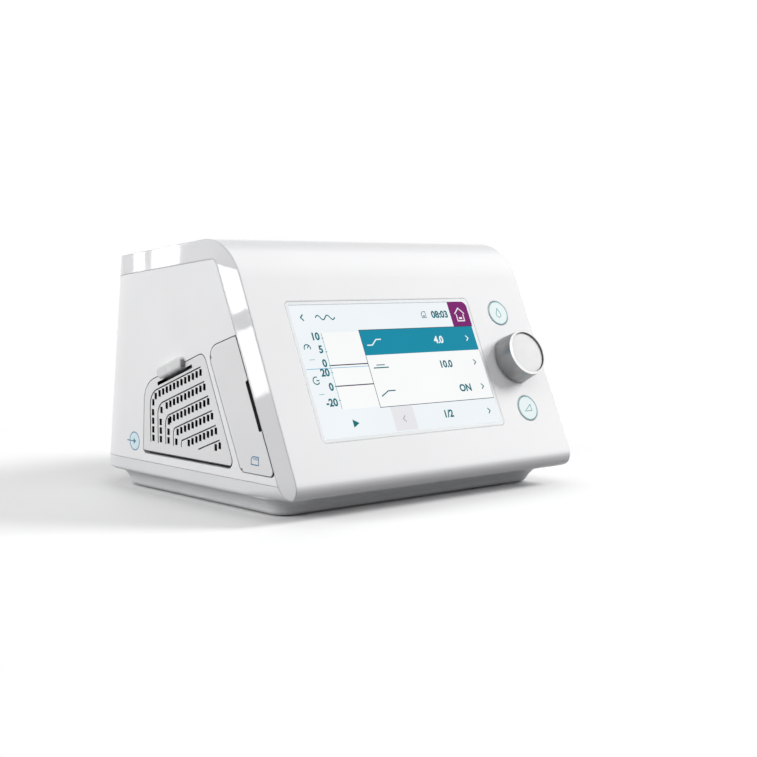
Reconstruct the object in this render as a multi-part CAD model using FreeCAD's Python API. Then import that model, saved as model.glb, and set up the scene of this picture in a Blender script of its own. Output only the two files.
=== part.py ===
import FreeCAD, Part
import math
import os
from FreeCAD import Vector

# A bedside CPAP machine. X runs to the right seen from the front, the fascia faces -Y, Z is up.
# X = 0 is the case's middle plane and Z = 0 the table top. All sizes are in millimetres.

# --- case envelope ---
case_width = 176.0            # across the two side panels
strip_overhang = 3.0          # how far the side panels stand out past the fascia's edge
case_bottom = 9.0             # height of the underside, where the plinth begins
front_foot_y = -75.7          # where the fascia plane meets the underside
rear_foot_y = 96.0            # where the back plane meets the underside
top_front_z = 120.5           # height at which the fascia and top planes meet
fascia_angle = 65.92          # slope of the fascia from the horizontal
top_fall = 5.4                # slope of the top, down towards the back
rear_lean = 7.9               # how far the back leans forward from the vertical
wall = 2.6
lip_radius = 6.0              # fascia to underside
brow_radius = 28.0            # fascia to top
rear_top_radius = 20.0
rear_bottom_radius = 2.0
rear_corner_radius = 32.0     # side panels to back, seen from above
strip_width_top = 10.2        # bevelled strip along the fascia, at its top
strip_width_foot = 7.9
strip_width_roof = 9.7        # bevelled strip along the top
panel_corner_radius = 4.0
edge_radius = 2.0             # side panels and rear corners to underside
lip_corner_radius = 8.0       # the same edge at the fascia's lower corners
lip_corner_run = 36.0         # length over which it grows
seam_gap = 0.2
strip_seam = 0.12             # between the side panels and the strips
seam_z = 15.6                 # joint between the panels and the lower case
lap_width = 3.0               # locating lip of the front shell, behind the side panels
lap_thickness = 1.8
strip_wall = 5.6              # depth of the strips' solid edge from the case side

# --- plinth, feet and case screws ---
plinth_side_inset = 9.0       # from the case's sides, and from the fascia's and the back's foot
plinth_front_inset = 21.9
plinth_rear_inset = 10.2
plinth_bottom = 0.8
plinth_front_radius = 9.0
plinth_rear_radius = 25.0
flare_slope = 62.0            # steepness of the flare at its foot, from the horizontal
flare_margin = 1.0            # what the flare leaves of the underside, beside and in front of it
floor_thickness = 2.4
foot_radius = 7.0
foot_height = 2.0
foot_side_inset = 22.0        # from the plinth's edges
foot_front_inset = 15.8
foot_rear_inset = 20.5
post_side_inset = 20.0        # from the case's sides, and from the fascia's and the back's foot
post_front_inset = 32.7
post_rear_inset = 33.2
post_radius = 4.0
post_top = 30.0
tab_thickness = 1.8
screw_radius = 1.5
screw_head_radius = 2.9
screw_head_height = 2.0
screw_clearance = 0.2

# --- display, along and up the fascia ---
display_foot = 26.7           # distance up the fascia from its foot to the display's lower edge
display_inset = 24.15         # from the left side to the display
display_width = 108.0
display_height = 62.0
lens_margin = 1.5
lens_thickness = 1.4
lens_ledge = 1.0
lens_radius = 2.0
lcd_thickness = 3.0
lcd_margin = 3.5
bracket_wall = 2.0
bracket_plate = 1.6
bracket_window = 12.0         # the plate's width round its window
board_thickness = 1.6
board_standoff = 2.0
stud_radius = 3.0
stud_screw_radius = 1.1
stud_screw_head = 2.0
stud_screw_head_height = 1.4
stud_reach = 4.0              # from the display bracket's side to the studs
stud_inset = 4.0              # from the display's upper and lower edges
fit_gap = 0.1                 # between flat faces that nearly touch

# --- knob and keys ---
control_inset = 23.45         # from the right side to the line of the controls
knob_v = 30.4
key_pitch = 25.0
knob_base_radius = 12.0
knob_top_radius = 11.3
knob_height = 11.4
knob_gap = 1.0                # under the knob, before it is pushed
knob_chamfer = 0.8
knob_skin = 2.2
knob_push = 0.6
cap_recess = 0.5
cap_thickness = 1.5
hub_radius = 5.2
shaft_radius = 3.0
running_fit = 0.05
bushing_radius = 3.5
encoder_side = 12.4
key_radius = 6.25
key_gap = 0.2
key_proud = 0.3
key_flange = 1.0
key_flange_thickness = 1.0
key_travel = 0.8
key_stem_radius = 2.0
switch_side = 6.0
switch_height = 2.4

# --- doors on the left side: depth from the panel's face inwards ---
door_thickness = 2.4
door_gap = 0.4
door_bottom_gap = 0.8
pin_radius = 0.6
pin_reach = 3.0
pin_grip = 6.0
pin_fit = 0.02
filter_bottom_z = 20.2
filter_front_y = -32.6        # where the filter door's front and lower edges meet
filter_front_slope = 65.2
filter_rear_y = 40.9
filter_rear_slope = 93.0
filter_top_z = 65.5           # height of the top edge's line at y = 0
filter_top_fall = 18.8
filter_height = 46.5
rib_width = 0.6
rib_depth = 0.5
rib_first_y = -7.6
rib_first_z = 62.5
rib_count = 6
rib_step = 6.87               # along the front edge
rib_rear_y = 34.5
rib_rear_step = 6.5
rib_bottom_z = 25.3
rib_bend_first = 8.5
rib_bend_step = 1.85
slot_width = 2.0
slot_height = 3.0
slot_end_gap = 0.5             # between a column's last slot and its rib's end
slot_pitch_row = 3.08
slot_pitch_column = 4.0
slot_offset = 2.35            # from a rib's line to the middle of its slots
latch_y = 14.5
latch_length = 21.0
latch_core_length = 16.0
latch_below = 2.3
latch_above = 3.2
latch_proud = 2.6
latch_float = 0.3
latch_slot_length = 30.4
latch_slot_width = 1.6
latch_travel = 1.2
tray_wall = 1.6
tray_depth = 17.5
foam_thickness = 11.0
foam_inset = 3.0
card_bottom_z = 19.4
card_rear_y = -37.95          # where the card door's rear and lower edges meet
card_rear_slope = 64.1
card_top_z = 67.0             # height of the top edge's line at y = 0
card_top_fall = 16.5
card_hinge_depth = 0.6        # shallow, so that the door's rounded corners clear the panel as it swings
card_pin_radius = 0.3
relief_start = 0.3            # share of a hinge corner's rounding before its step begins
relief_reach = 1.25           # of the hinge's depth, in front of its axis
relief_below = 0.25           # how far the step lies below the axis
notch_low = 20.5              # finger notch, along the front edge from the lower corner
notch_high = 43.5
notch_depth = 1.8
bay_depth = 4.8
bay_wall = 1.2
bay_inset = 3.4
bay_side_inset = 1.6
bay_flange = 0.8
card_width = 24.0
card_length = 32.0
card_thickness = 2.1
card_stands_out = 1.4
socket_wall = 1.2
card_up = 30.0                # from the rear edge's lower corner to the middle of the card

# --- air path ---
duct_radius = 11.5
duct_wall = 1.6
duct_y = 8.0
duct_z = 46.5
chassis_thickness = 2.4
chassis_side_inset = 26.0     # from the case's sides, and from the fascia's and the back's foot
chassis_front_inset = 29.7
chassis_rear_inset = 18.9
box_left_x = -40.0
box_side_room = 8.0           # between the blower and the muffler box's right wall
box_end_room = 4.0            # the same at the box's front and rear
box_height = 54.0
box_wall = 2.0
box_corner = 4.0
lid_rim = 3.0
blower_x = 22.0
blower_y = 22.0
blower_radius = 28.0
blower_wall = 2.0
grommet_radius = 4.0
grommet_height = 5.0
grommet_circle = 22.0
motor_well_radius = 15.4
motor_well_depth = 12.6
chamber_height = 16.0
impeller_radius = 24.0
impeller_height = 12.0
blade_count = 9
motor_shaft_radius = 1.5
bearing_radius = 3.5
bearing_height = 2.5
magnet_radius = 7.0
stator_inner_radius = 7.6
stator_outer_radius = 14.6
inlet_radius = 11.0
outlet_offset = 17.0          # from the blower's axis to the outlet's
outlet_bore = 7.6
outlet_wall = 1.6
port_radius = 11.0
port_bore = 9.3
port_length = 20.0
port_neck_radius = 11.6      # inside the case, behind the port's shoulder
port_neck_length = 20.0
bellows_room = 2.5            # least distance between the blower's spigot and the port
port_flange_radius = 14.0
boss_radius = 17.0
sensor_offset = 34.0
sensor_width = 14.0
sensor_height = 12.0
sensor_depth = 8.0
nipple_radius = 1.2
boss_stand = 3.0              # how far the flat boss stands out of the back, at its middle

# --- electronics ---
board_z = 14.0
board_side_inset = 30.0       # from the case's sides, and from the fascia's and the back's foot
board_front_inset = 39.7
board_rear_inset = 16.9
board_post_radius = 3.0
board_post_inset = 5.0        # from the board's ends
board_post_front = 12.0
board_post_rear = 26.0
jack_x = -45.0
jack_width = 11.0
jack_height = 11.0
jack_length = 15.0
jack_bore = 3.2
jack_pin = 1.0
ribbon_width = 20.0
ribbon_thickness = 0.4
connector_height = 4.0
capacitor_radius = 4.0
capacitor_pitch = 11.0
capacitor_height = 10.0
ribbon_notch = 4.0            # in the chassis's front edge, where the ribbon goes down

far = 400.0                   # beyond any part of the case


# --- outlines ---

def side_at(x):
    return lambda a, b: Vector(x, a, b)


def plan_at(z):
    return lambda a, b: Vector(a, b, z)


def front_at(y):
    return lambda a, b: Vector(a, y, b)


def unit(p, q):
    length = math.hypot(q[0] - p[0], q[1] - p[1])
    return (q[0] - p[0]) / length, (q[1] - p[1]) / length


def outline_wire(points, radii, place):
    # A closed outline whose corners are rounded by tangent arcs; a radius of 0 leaves a corner sharp.
    corners = []
    for i, corner in enumerate(points):
        back = unit(corner, points[i - 1])
        ahead = unit(corner, points[(i + 1) % len(points)])
        half = 0.5 * math.acos(max(-1.0, min(1.0, back[0] * ahead[0] + back[1] * ahead[1])))
        radius = radii[i]
        if radius <= 0.0:
            corners.append((corner, None, corner))
            continue
        run = radius / math.tan(half)
        first = (corner[0] + back[0] * run, corner[1] + back[1] * run)
        last = (corner[0] + ahead[0] * run, corner[1] + ahead[1] * run)
        inward = unit((0.0, 0.0), (back[0] + ahead[0], back[1] + ahead[1]))
        reach = radius / math.sin(half) - radius
        middle = (corner[0] + inward[0] * reach, corner[1] + inward[1] * reach)
        corners.append((first, middle, last))
    edges = []
    for i, (first, middle, last) in enumerate(corners):
        if middle:
            edges.append(Part.Arc(place(*first), place(*middle), place(*last)).toShape())
        following = corners[(i + 1) % len(corners)][0]
        if math.hypot(following[0] - last[0], following[1] - last[1]) > 1e-6:
            edges.append(Part.LineSegment(place(*last), place(*following)).toShape())
    return Part.Wire(edges)


def prism(points, radii, place, along):
    return Part.Face(outline_wire(points, radii, place)).extrude(along)


def meet(p, q, r, s):
    # Where the line through p and q meets the line through r and s.
    d1 = (q[0] - p[0], q[1] - p[1])
    d2 = (s[0] - r[0], s[1] - r[1])
    t = ((r[0] - p[0]) * d2[1] - (r[1] - p[1]) * d2[0]) / (d1[0] * d2[1] - d1[1] * d2[0])
    return p[0] + t * d1[0], p[1] + t * d1[1]


def inset(points, distances):
    # Moves each edge of an anticlockwise outline inwards; edge i starts at point i.
    lines = []
    for i, p in enumerate(points):
        q = points[(i + 1) % len(points)]
        along = unit(p, q)
        shift = (-along[1] * distances[i], along[0] * distances[i])
        lines.append(((p[0] + shift[0], p[1] + shift[1]), (q[0] + shift[0], q[1] + shift[1])))
    return [meet(*lines[i - 1], *lines[i]) for i in range(len(points))]


def even_inset(points, distance):
    return inset(points, [distance] * len(points))


def shrunk(radii, distance):
    return [max(radius - distance, 0.0) for radius in radii]


def box_outline(low_a, high_a, low_b, high_b):
    return [(low_a, low_b), (high_a, low_b), (high_a, high_b), (low_a, high_b)]


def block(low, high):
    return Part.makeBox(high[0] - low[0], high[1] - low[1], high[2] - low[2], Vector(*low))


def rod(radius, start, along, length):
    return Part.makeCylinder(radius, length, Vector(*start), Vector(*along))


def tube(outer, inner, start, along, length):
    return rod(outer, start, along, length).cut(rod(inner, start, along, length))


def mirrored(shape):
    return shape.mirror(Vector(0, 0, 0), Vector(1, 0, 0))


def both_sides(shape):
    return [shape, mirrored(shape)]


def turned(points):
    # A solid of revolution about local Z, from (radius, height) points.
    wire = Part.makePolygon([Vector(r, 0, h) for r, h in points + points[:1]])
    return Part.Face(wire).revolve(Vector(0, 0, 0), Vector(0, 0, 1), 360)


# --- sizes that follow from the ones above ---

half_width = case_width / 2.0
fascia_half_width = half_width - strip_overhang
side_x = -half_width
plinth_width = case_width - 2 * plinth_side_inset
flare_side = plinth_side_inset - flare_margin
flare_front = plinth_front_inset - strip_width_foot / math.sin(math.radians(fascia_angle)) - flare_margin
plinth_front_y = front_foot_y + plinth_front_inset
plinth_rear_y = rear_foot_y - plinth_rear_inset
foot_reach_x = plinth_width / 2.0 - foot_side_inset
foot_front_y = plinth_front_y + foot_front_inset
foot_rear_y = plinth_rear_y - foot_rear_inset
post_x = half_width - post_side_inset
post_front_y = front_foot_y + post_front_inset
post_rear_y = rear_foot_y - post_rear_inset
display_left_x = side_x + display_inset
control_x = half_width - control_inset
chassis_half_width = half_width - chassis_side_inset
chassis_front_y = front_foot_y + chassis_front_inset
chassis_rear_y = rear_foot_y - chassis_rear_inset
board_half_width = half_width - board_side_inset
board_front_y = front_foot_y + board_front_inset
board_rear_y = rear_foot_y - board_rear_inset
box_right_x = blower_x + blower_radius + box_side_room
box_front_y = blower_y - blower_radius - box_end_room
box_rear_y = blower_y + blower_radius + box_end_room

# --- the case's side view ---

fascia_run = 1.0 / math.tan(math.radians(fascia_angle))
top_run = math.tan(math.radians(top_fall))
rear_run = math.tan(math.radians(rear_lean))
front_foot = (front_foot_y, case_bottom)
rear_foot = (rear_foot_y, case_bottom)
brow = (front_foot_y + (top_front_z - case_bottom) * fascia_run, top_front_z)
rear_top = meet(brow, (brow[0] + 1.0, brow[1] - top_run),
                rear_foot, (rear_foot_y - rear_run, case_bottom + 1.0))
profile = [front_foot, rear_foot, rear_top, brow]
profile_radii = [lip_radius, rear_bottom_radius, rear_top_radius, brow_radius]


def panel_profile(grow=0.0):
    # The side panel's outline: the case's side view less the bevelled strips, grown on the two strip sides.
    along = unit(brow, front_foot)
    inward = (-along[1], along[0])
    upper = (brow[0] + inward[0] * (strip_width_top - grow), brow[1] + inward[1] * (strip_width_top - grow))
    lower = (front_foot[0] + inward[0] * (strip_width_foot - grow),
             front_foot[1] + inward[1] * (strip_width_foot - grow))
    roof = strip_width_roof - grow
    fall = math.radians(top_fall)
    roof_point = (brow[0] - roof * math.sin(fall), brow[1] - roof * math.cos(fall))
    roof_ahead = (roof_point[0] + math.cos(fall), roof_point[1] - math.sin(fall))
    corner = meet(upper, lower, roof_point, roof_ahead)
    foot = meet(upper, lower, front_foot, rear_foot)
    back = meet(roof_point, roof_ahead, rear_foot, rear_top)
    return [foot, rear_foot, back, corner]


def behind_strips(grow=0.0):
    # Everything inside the strips' inner edge, through the whole width and on past the back and the floor.
    foot, _, back, corner = panel_profile(grow)
    low = meet(corner, foot, (0.0, -far), (1.0, -far))
    end = meet(corner, back, (far, 0.0), (far, 1.0))
    outline = [low, (far, -far), end, corner]
    radius = panel_corner_radius + grow
    return prism(outline, [0, 0, 0, radius], side_at(-far), Vector(2 * far, 0, 0))


def plan_prism(gap):
    # The case seen from above, with its rounded rear corners, drawn out along the leaning back.
    back = rear_foot_y - gap * math.hypot(1.0, rear_run)
    outline = box_outline(-half_width + gap, half_width - gap, -far, back)
    corner = rear_corner_radius - gap
    base = prism(outline, [0, 0, corner, corner], plan_at(case_bottom), Vector(0, -rear_run * far, far))
    lower = prism(outline, [0, 0, corner, corner], plan_at(case_bottom), Vector(0, rear_run * 9, -9))
    return base.fuse(lower)


def edge_cutter(start_y, start_radius, end_y, end_radius):
    # What comes off the side's lower edge to round it, with a radius that changes from one end to the other.
    margin = 1.0
    wires = []
    for y, radius in ((start_y, start_radius), (end_y, end_radius)):
        place = front_at(y)
        left = half_width - radius
        up = case_bottom + radius
        diagonal = radius * math.sqrt(0.5)
        corners = [(left, case_bottom), (left, case_bottom - margin),
                   (half_width + margin, case_bottom - margin), (half_width + margin, up), (half_width, up)]
        edges = [Part.LineSegment(place(*p), place(*q)).toShape() for p, q in zip(corners, corners[1:])]
        middle = place(left + diagonal, up - diagonal)
        edges.append(Part.Arc(place(half_width, up), middle, place(left, case_bottom)).toShape())
        wires.append(Part.Wire(edges))
    return Part.makeLoft(wires, True, True)


def corner_cutter():
    # What comes off the lower edge of a rear corner to round it.
    centre = Vector(half_width - rear_corner_radius, rear_foot_y - rear_corner_radius, 0)
    rounded = box_outline(0.0, rear_corner_radius, case_bottom, case_bottom + far)
    disc = Part.Face(outline_wire(rounded, [0, edge_radius, 0, 0], front_at(0.0)))
    disc = disc.revolve(Vector(0, 0, 0), Vector(0, 0, 1), 360)
    disc.translate(centre)
    return block((centre.x, centre.y, 0.0), (far, far, case_bottom + edge_radius)).cut(disc)


def case_envelope():
    body = prism(profile, profile_radii, side_at(-fascia_half_width), Vector(2 * fascia_half_width, 0, 0))
    panel_radii = [lip_radius, rear_bottom_radius, rear_top_radius, panel_corner_radius]
    outer = outline_wire(profile, profile_radii, side_at(fascia_half_width))
    inner = outline_wire(panel_profile(), panel_radii, side_at(half_width))
    flank = Part.makeLoft([outer, inner], True, True)
    envelope = body.multiFuse(both_sides(flank)).removeSplitter()
    envelope = envelope.common(plan_prism(0.0))
    lip_end = front_foot_y + lip_corner_run
    cutters = both_sides(edge_cutter(front_foot_y - edge_radius, lip_corner_radius, lip_end, edge_radius))
    cutters += both_sides(edge_cutter(lip_end, edge_radius, rear_foot_y + edge_radius, edge_radius))
    cutters += both_sides(corner_cutter())
    return envelope.cut(cutters)


# --- the fascia's own frame: X along it, Y up its slope, Z out of it ---

fascia_slope = math.radians(fascia_angle)
display_y = front_foot_y + display_foot * math.cos(fascia_slope)
display_z = case_bottom + display_foot * math.sin(fascia_slope)
fascia_turn = FreeCAD.Rotation(Vector(1, 0, 0), fascia_angle)
fascia_place = FreeCAD.Placement(Vector(0, display_y, display_z), fascia_turn)


def on_fascia(shape):
    placed = shape.copy()
    placed.Placement = fascia_place.multiply(placed.Placement)
    return placed


def fascia_box(x0, x1, v0, v1, n0, n1, radius=0.0):
    return prism(box_outline(x0, x1, v0, v1), [radius] * 4, plan_at(n0), Vector(0, 0, n1 - n0))


def fascia_rod(radius, x, v, n0, n1):
    return rod(radius, (x, v, n0), (0, 0, 1), n1 - n0)


lens_x0 = display_left_x - lens_margin
lens_x1 = display_left_x + display_width + lens_margin
lens_v0 = -lens_margin
lens_v1 = display_height + lens_margin
lcd_x0 = display_left_x - lcd_margin
lcd_x1 = display_left_x + display_width + lcd_margin
lcd_v0 = -lcd_margin
lcd_v1 = display_height + lcd_margin
lcd_front = -wall - fit_gap
lcd_back = lcd_front - lcd_thickness
plate_front = lcd_back - fit_gap
plate_back = plate_front - bracket_plate
board_front = plate_back - board_standoff
board_back = board_front - board_thickness
stud_x = (lcd_x0 - bracket_wall - stud_reach, lcd_x1 + bracket_wall + stud_reach)
stud_v = (stud_inset, display_height - stud_inset)
studs = [(x, v) for x in stud_x for v in stud_v]
keys_v = (knob_v + key_pitch, knob_v - key_pitch)


def fascia_openings():
    cuts = [fascia_box(lens_x0, lens_x1, lens_v0, lens_v1, -lens_thickness, far, lens_radius)]
    ledge = lens_ledge
    cuts.append(fascia_box(lens_x0 + ledge, lens_x1 - ledge, lens_v0 + ledge, lens_v1 - ledge,
                           -2 * wall, 0.0, lens_radius - ledge))
    cuts.append(fascia_rod(bushing_radius + key_gap, control_x, knob_v, -2 * wall, wall))
    cuts += [fascia_rod(key_radius + key_gap, control_x, v, -2 * wall, wall) for v in keys_v]
    return [on_fascia(cut) for cut in cuts]


def stud_bosses():
    bosses = []
    for x, v in studs:
        boss = fascia_rod(stud_radius, x, v, plate_front, -wall + fit_gap)
        bosses.append(on_fascia(boss))
    return bosses


def stud_holes():
    radius = stud_screw_radius + running_fit
    return [on_fascia(fascia_rod(radius, x, v, plate_front - wall, -wall)) for x, v in studs]


def lap_lip():
    # A thin lip behind each side panel's front and top edges.
    low_x = half_width - wall - seam_gap - lap_thickness
    foot, _, back, corner = panel_profile(1.0)
    rear_limit = rear_foot_y - (top_front_z - case_bottom) * rear_run - rear_corner_radius
    low = meet(corner, foot, (0.0, seam_z + seam_gap), (1.0, seam_z + seam_gap))
    end = meet(corner, back, (rear_limit, 0.0), (rear_limit, 1.0))
    outline = [low, (rear_limit, low[1]), end, corner]
    lip = prism(outline, [0, 0, 0, panel_corner_radius], side_at(low_x), Vector(lap_thickness, 0, 0))
    return lip.cut(behind_strips(-lap_width))


def front_shell(envelope):
    shell = envelope.cut(behind_strips())
    cavity_half = half_width - strip_wall
    cavity = prism(even_inset(profile, wall), shrunk(profile_radii, wall), side_at(-cavity_half),
                   Vector(2 * cavity_half, 0, 0))
    shell = shell.cut(cavity.common(plan_prism(wall)))
    shell = shell.multiFuse(both_sides(lap_lip()) + stud_bosses())
    return shell.cut(fascia_openings() + stud_holes())


# --- the left side's outlines, as (y, z) ---

def slope_line(point, degrees):
    angle = math.radians(degrees)
    return point, (point[0] + math.cos(angle), point[1] + math.sin(angle))


def filter_outline():
    front = slope_line((filter_front_y, filter_bottom_z), filter_front_slope)
    rear = slope_line((filter_rear_y, filter_bottom_z), filter_rear_slope)
    top = slope_line((0.0, filter_top_z), -filter_top_fall)
    return [front[0], rear[0], meet(*rear, *top), meet(*front, *top)]


filter_radii = [3.0, 2.0, 12.0, 4.0]


def card_outline():
    foot, _, _, corner = panel_profile(-seam_gap - door_gap)
    rear = slope_line((card_rear_y, card_bottom_z), card_rear_slope)
    top = slope_line((0.0, card_top_z), -card_top_fall)
    level = ((0.0, card_bottom_z), (1.0, card_bottom_z))
    return [meet(corner, foot, *level), rear[0], meet(*rear, *top), meet(corner, foot, *top)]


card_radii = [2.0, 3.5, 6.0, 1.5]


def side_prism(points, radii, depth0, depth1):
    # A prism on the left side, between two depths measured inwards from the panel's face.
    return prism(points, radii, side_at(side_x + depth0), Vector(depth1 - depth0, 0, 0))


def grown_radii(radii, distance):
    return [radius + distance for radius in radii]


door_front = 0.0
panel_back = wall
knuckle_radius = door_thickness / 2.0
filter_axis_z = filter_bottom_z + knuckle_radius
filter_hinge_x = side_x + knuckle_radius
card_hinge_x = side_x + card_hinge_depth
card_slope = math.radians(card_rear_slope)
card_along = (0.0, math.cos(card_slope), math.sin(card_slope))
card_across = (-math.sin(card_slope), math.cos(card_slope))
card_axis = (card_rear_y + card_hinge_depth * card_across[0],
             card_bottom_z + card_hinge_depth * card_across[1])


def on_card_axis(distance):
    return card_hinge_x, card_axis[0] + card_along[1] * distance, card_axis[1] + card_along[2] * distance


def card_rear_length():
    outline = card_outline()
    return math.hypot(outline[2][0] - outline[1][0], outline[2][1] - outline[1][1])


def filter_opening():
    grown = inset(filter_outline(), [-door_bottom_gap, -door_gap, -door_gap, -door_gap])
    return side_prism(grown, grown_radii(filter_radii, door_gap), -wall, 2 * wall)


def card_opening():
    grown = inset(card_outline(), [-door_gap, -door_gap, -door_gap, -2 * (seam_gap + door_gap)])
    return side_prism(grown, grown_radii(card_radii, door_gap), -wall, 2 * wall)


def filter_pins(radius, reach):
    outline = filter_outline()
    bottom_front = meet(outline[0], outline[3], (0.0, filter_axis_z), (1.0, filter_axis_z))[0]
    bottom_rear = meet(outline[1], outline[2], (0.0, filter_axis_z), (1.0, filter_axis_z))[0]
    front = rod(radius, (filter_hinge_x, bottom_front - reach, filter_axis_z), (0, 1, 0), reach + pin_grip)
    rear = rod(radius, (filter_hinge_x, bottom_rear - pin_grip, filter_axis_z), (0, 1, 0), reach + pin_grip)
    return [front, rear]


def card_pins(radius, reach):
    length = card_rear_length()
    lower = rod(radius, on_card_axis(-reach), card_along, reach + pin_grip)
    upper = rod(radius, on_card_axis(length - pin_grip), card_along, reach + pin_grip)
    return [lower, upper]


# --- rear shell ---

outlet_x = blower_x + outlet_offset
box_bottom = post_top + chassis_thickness
blower_bottom = box_bottom + box_wall + grommet_height
well_top = blower_bottom + blower_wall + motor_well_depth
outlet_z = well_top + chamber_height / 2.0


def rear_y(z):
    return rear_foot_y - (z - case_bottom) * rear_run


boss_face_y = rear_y(outlet_z) + boss_stand
boss_inner_y = rear_y(outlet_z) - boss_radius * rear_run - wall
jack_z = board_z + board_thickness + jack_height / 2.0


def post_spots():
    return [(x, y) for x in (-post_x, post_x) for y in (post_front_y, post_rear_y)]


def corner_posts(radius, low, high):
    return [rod(radius, (x, y, low), (0, 0, 1), high - low) for x, y in post_spots()]


def post_tabs():
    # A flat tab along the seam carries each post on the side wall, below the doors' rims.
    tabs = []
    low = seam_z + seam_gap / 2.0
    for y in (post_front_y, post_rear_y):
        tab = block((post_x, y - post_radius, low),
                    (half_width - wall / 2.0, y + post_radius, low + tab_thickness))
        tabs += both_sides(tab)
    return tabs


def rear_shell(envelope):
    above = block((-far, -far, seam_z + seam_gap / 2.0), (far, far, far))
    shell = envelope.common(behind_strips(-strip_seam)).common(above).cut(plan_prism(wall))
    boss = rod(boss_radius, (outlet_x, boss_inner_y, outlet_z), (0, 1, 0), boss_face_y - boss_inner_y)
    posts = corner_posts(post_radius, seam_z + seam_gap / 2.0, post_top)
    shell = shell.multiFuse(posts + post_tabs() + [boss])
    cuts = [filter_opening(), card_opening()]
    cuts += filter_pins(pin_radius + running_fit, pin_reach + door_gap)
    cuts += card_pins(card_pin_radius + running_fit, pin_reach + door_gap)
    cuts += corner_posts(screw_radius + running_fit, 0.0, far)
    cuts.append(rod(port_neck_radius + running_fit, (outlet_x, 0, outlet_z), (0, 1, 0), far))
    cuts.append(rod(jack_bore + 1.8, (jack_x, 0, jack_z), (0, 1, 0), far))
    return shell.cut(cuts)


# --- lower case ---

def plinth_wire(side_spread, front_spread, z):
    outline = box_outline(-plinth_width / 2.0, plinth_width / 2.0, plinth_front_y, plinth_rear_y)
    spreads = [-front_spread, -side_spread, 0.0, -side_spread]
    front = plinth_front_radius + min(side_spread, front_spread)
    radii = [front, front, plinth_rear_radius, plinth_rear_radius]
    return outline_wire(inset(outline, spreads), radii, plan_at(z))


def plinth():
    # The foot's rounded edge, and above it a concave flare that runs out into the underside.
    rounding = 1.0
    start = plinth_bottom + rounding
    foot = Part.makeLoft([plinth_wire(-rounding, -rounding, plinth_bottom), plinth_wire(0.0, 0.0, start)],
                         True, True)
    steps = 7
    steepest = math.radians(flare_slope)
    wires = []
    for i in range(steps + 1):
        slope = steepest * (1.0 - 0.92 * i / steps)
        share = 1.0 - math.sin(slope) / math.sin(steepest)
        drop = (case_bottom - start) * (1.0 - math.cos(slope)) / (1.0 - math.cos(steepest))
        wires.append(plinth_wire(share * flare_side, share * flare_front, case_bottom - drop))
    wires.append(plinth_wire(share * flare_side, share * flare_front, case_bottom + 1.0))
    flare = [Part.makeLoft([low, high], True, True) for low, high in zip(wires, wires[1:])]
    return foot.multiFuse(flare)


def foot_spots():
    return {
        "front_left": (-foot_reach_x, foot_front_y),
        "front_right": (foot_reach_x, foot_front_y),
        "rear_left": (-foot_reach_x, foot_rear_y),
        "rear_right": (foot_reach_x, foot_rear_y),
    }


screw_seat_z = plinth_bottom + 1.2 + screw_head_height


def board_posts(radius, low, high):
    x = board_half_width - board_post_inset
    spots = [(side * x, y) for side in (-1, 1)
             for y in (board_front_y + board_post_front, board_rear_y - board_post_rear)]
    return [rod(radius, (x, y, low), (0, 0, 1), high - low) for x, y in spots]


def lower_case(envelope):
    below = block((-far, -far, -far), (far, far, seam_z - seam_gap / 2.0))
    band = envelope.common(behind_strips(-strip_seam)).common(below)
    tray = band.fuse(plinth())
    foot, _, _, corner = panel_profile()
    front_wall_y = meet(corner, foot, (0.0, seam_z), (1.0, seam_z))[0] + wall
    above_floor = block((-far, front_wall_y, case_bottom + floor_thickness), (far, far, far))
    room = plan_prism(wall).common(above_floor)
    floor_z = plinth_bottom + floor_thickness
    hollow_outline = box_outline(-plinth_width / 2.0 + wall, plinth_width / 2.0 - wall,
                                 plinth_front_y + wall, plinth_rear_y - wall)
    front = plinth_front_radius - wall
    rear = plinth_rear_radius - wall
    hollow = prism(hollow_outline, [front, front, rear, rear], plan_at(floor_z), Vector(0, 0, far))
    tray = tray.cut([room, hollow])
    columns = corner_posts(post_radius, floor_z - 1.0, seam_z - seam_gap / 2.0)
    tray = tray.multiFuse(columns + board_posts(board_post_radius, floor_z - 1.0, board_z))
    cuts = corner_posts(screw_radius + screw_clearance, 0.0, far)
    cuts += corner_posts(screw_head_radius + screw_clearance, 0.0, screw_seat_z)
    cuts += board_posts(stud_screw_radius + running_fit, board_z - 6.0, far)
    for x, y in foot_spots().values():
        cuts.append(rod(foot_radius + fit_gap, (x, y, 0), (0, 0, 1), foot_height))
    return tray.cut(cuts)


def rubber_foot(x, y):
    disc = rod(foot_radius, (x, y, 0), (0, 0, 1), foot_height)
    rim = [edge for edge in disc.Edges if edge.BoundBox.ZMax < 0.01]
    return disc.makeFillet(0.5, rim)


def screw(radius, head_radius, head_height, seat, along, length):
    # A pan-head screw: its head's underside is at the seat, and it points along its own axis.
    direction = Vector(*along)
    shank = Part.makeCylinder(radius, length, Vector(*seat), direction)
    top = Vector(*seat) - direction * head_height
    head = Part.makeCylinder(head_radius, head_height, top, direction)
    recess = Part.makeCylinder(head_radius * 0.35, head_height * 0.5, top, direction)
    return shank.fuse(head).cut(recess)


def case_screw(seat, along, length):
    return screw(screw_radius, screw_head_radius, screw_head_height, seat, along, length)


def stud_screw(seat, along, length):
    return screw(stud_screw_radius, stud_screw_head, stud_screw_head_height, seat, along, length)


def case_screws():
    length = post_top - screw_seat_z - 9.0
    return [case_screw((x, y, screw_seat_z), (0, 0, 1), length) for x, y in post_spots()]


# --- display ---

def touch_lens():
    gap = 0.05
    return on_fascia(fascia_box(lens_x0 + gap, lens_x1 - gap, lens_v0 + gap, lens_v1 - gap,
                                -lens_thickness, 0.0, lens_radius))


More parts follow.
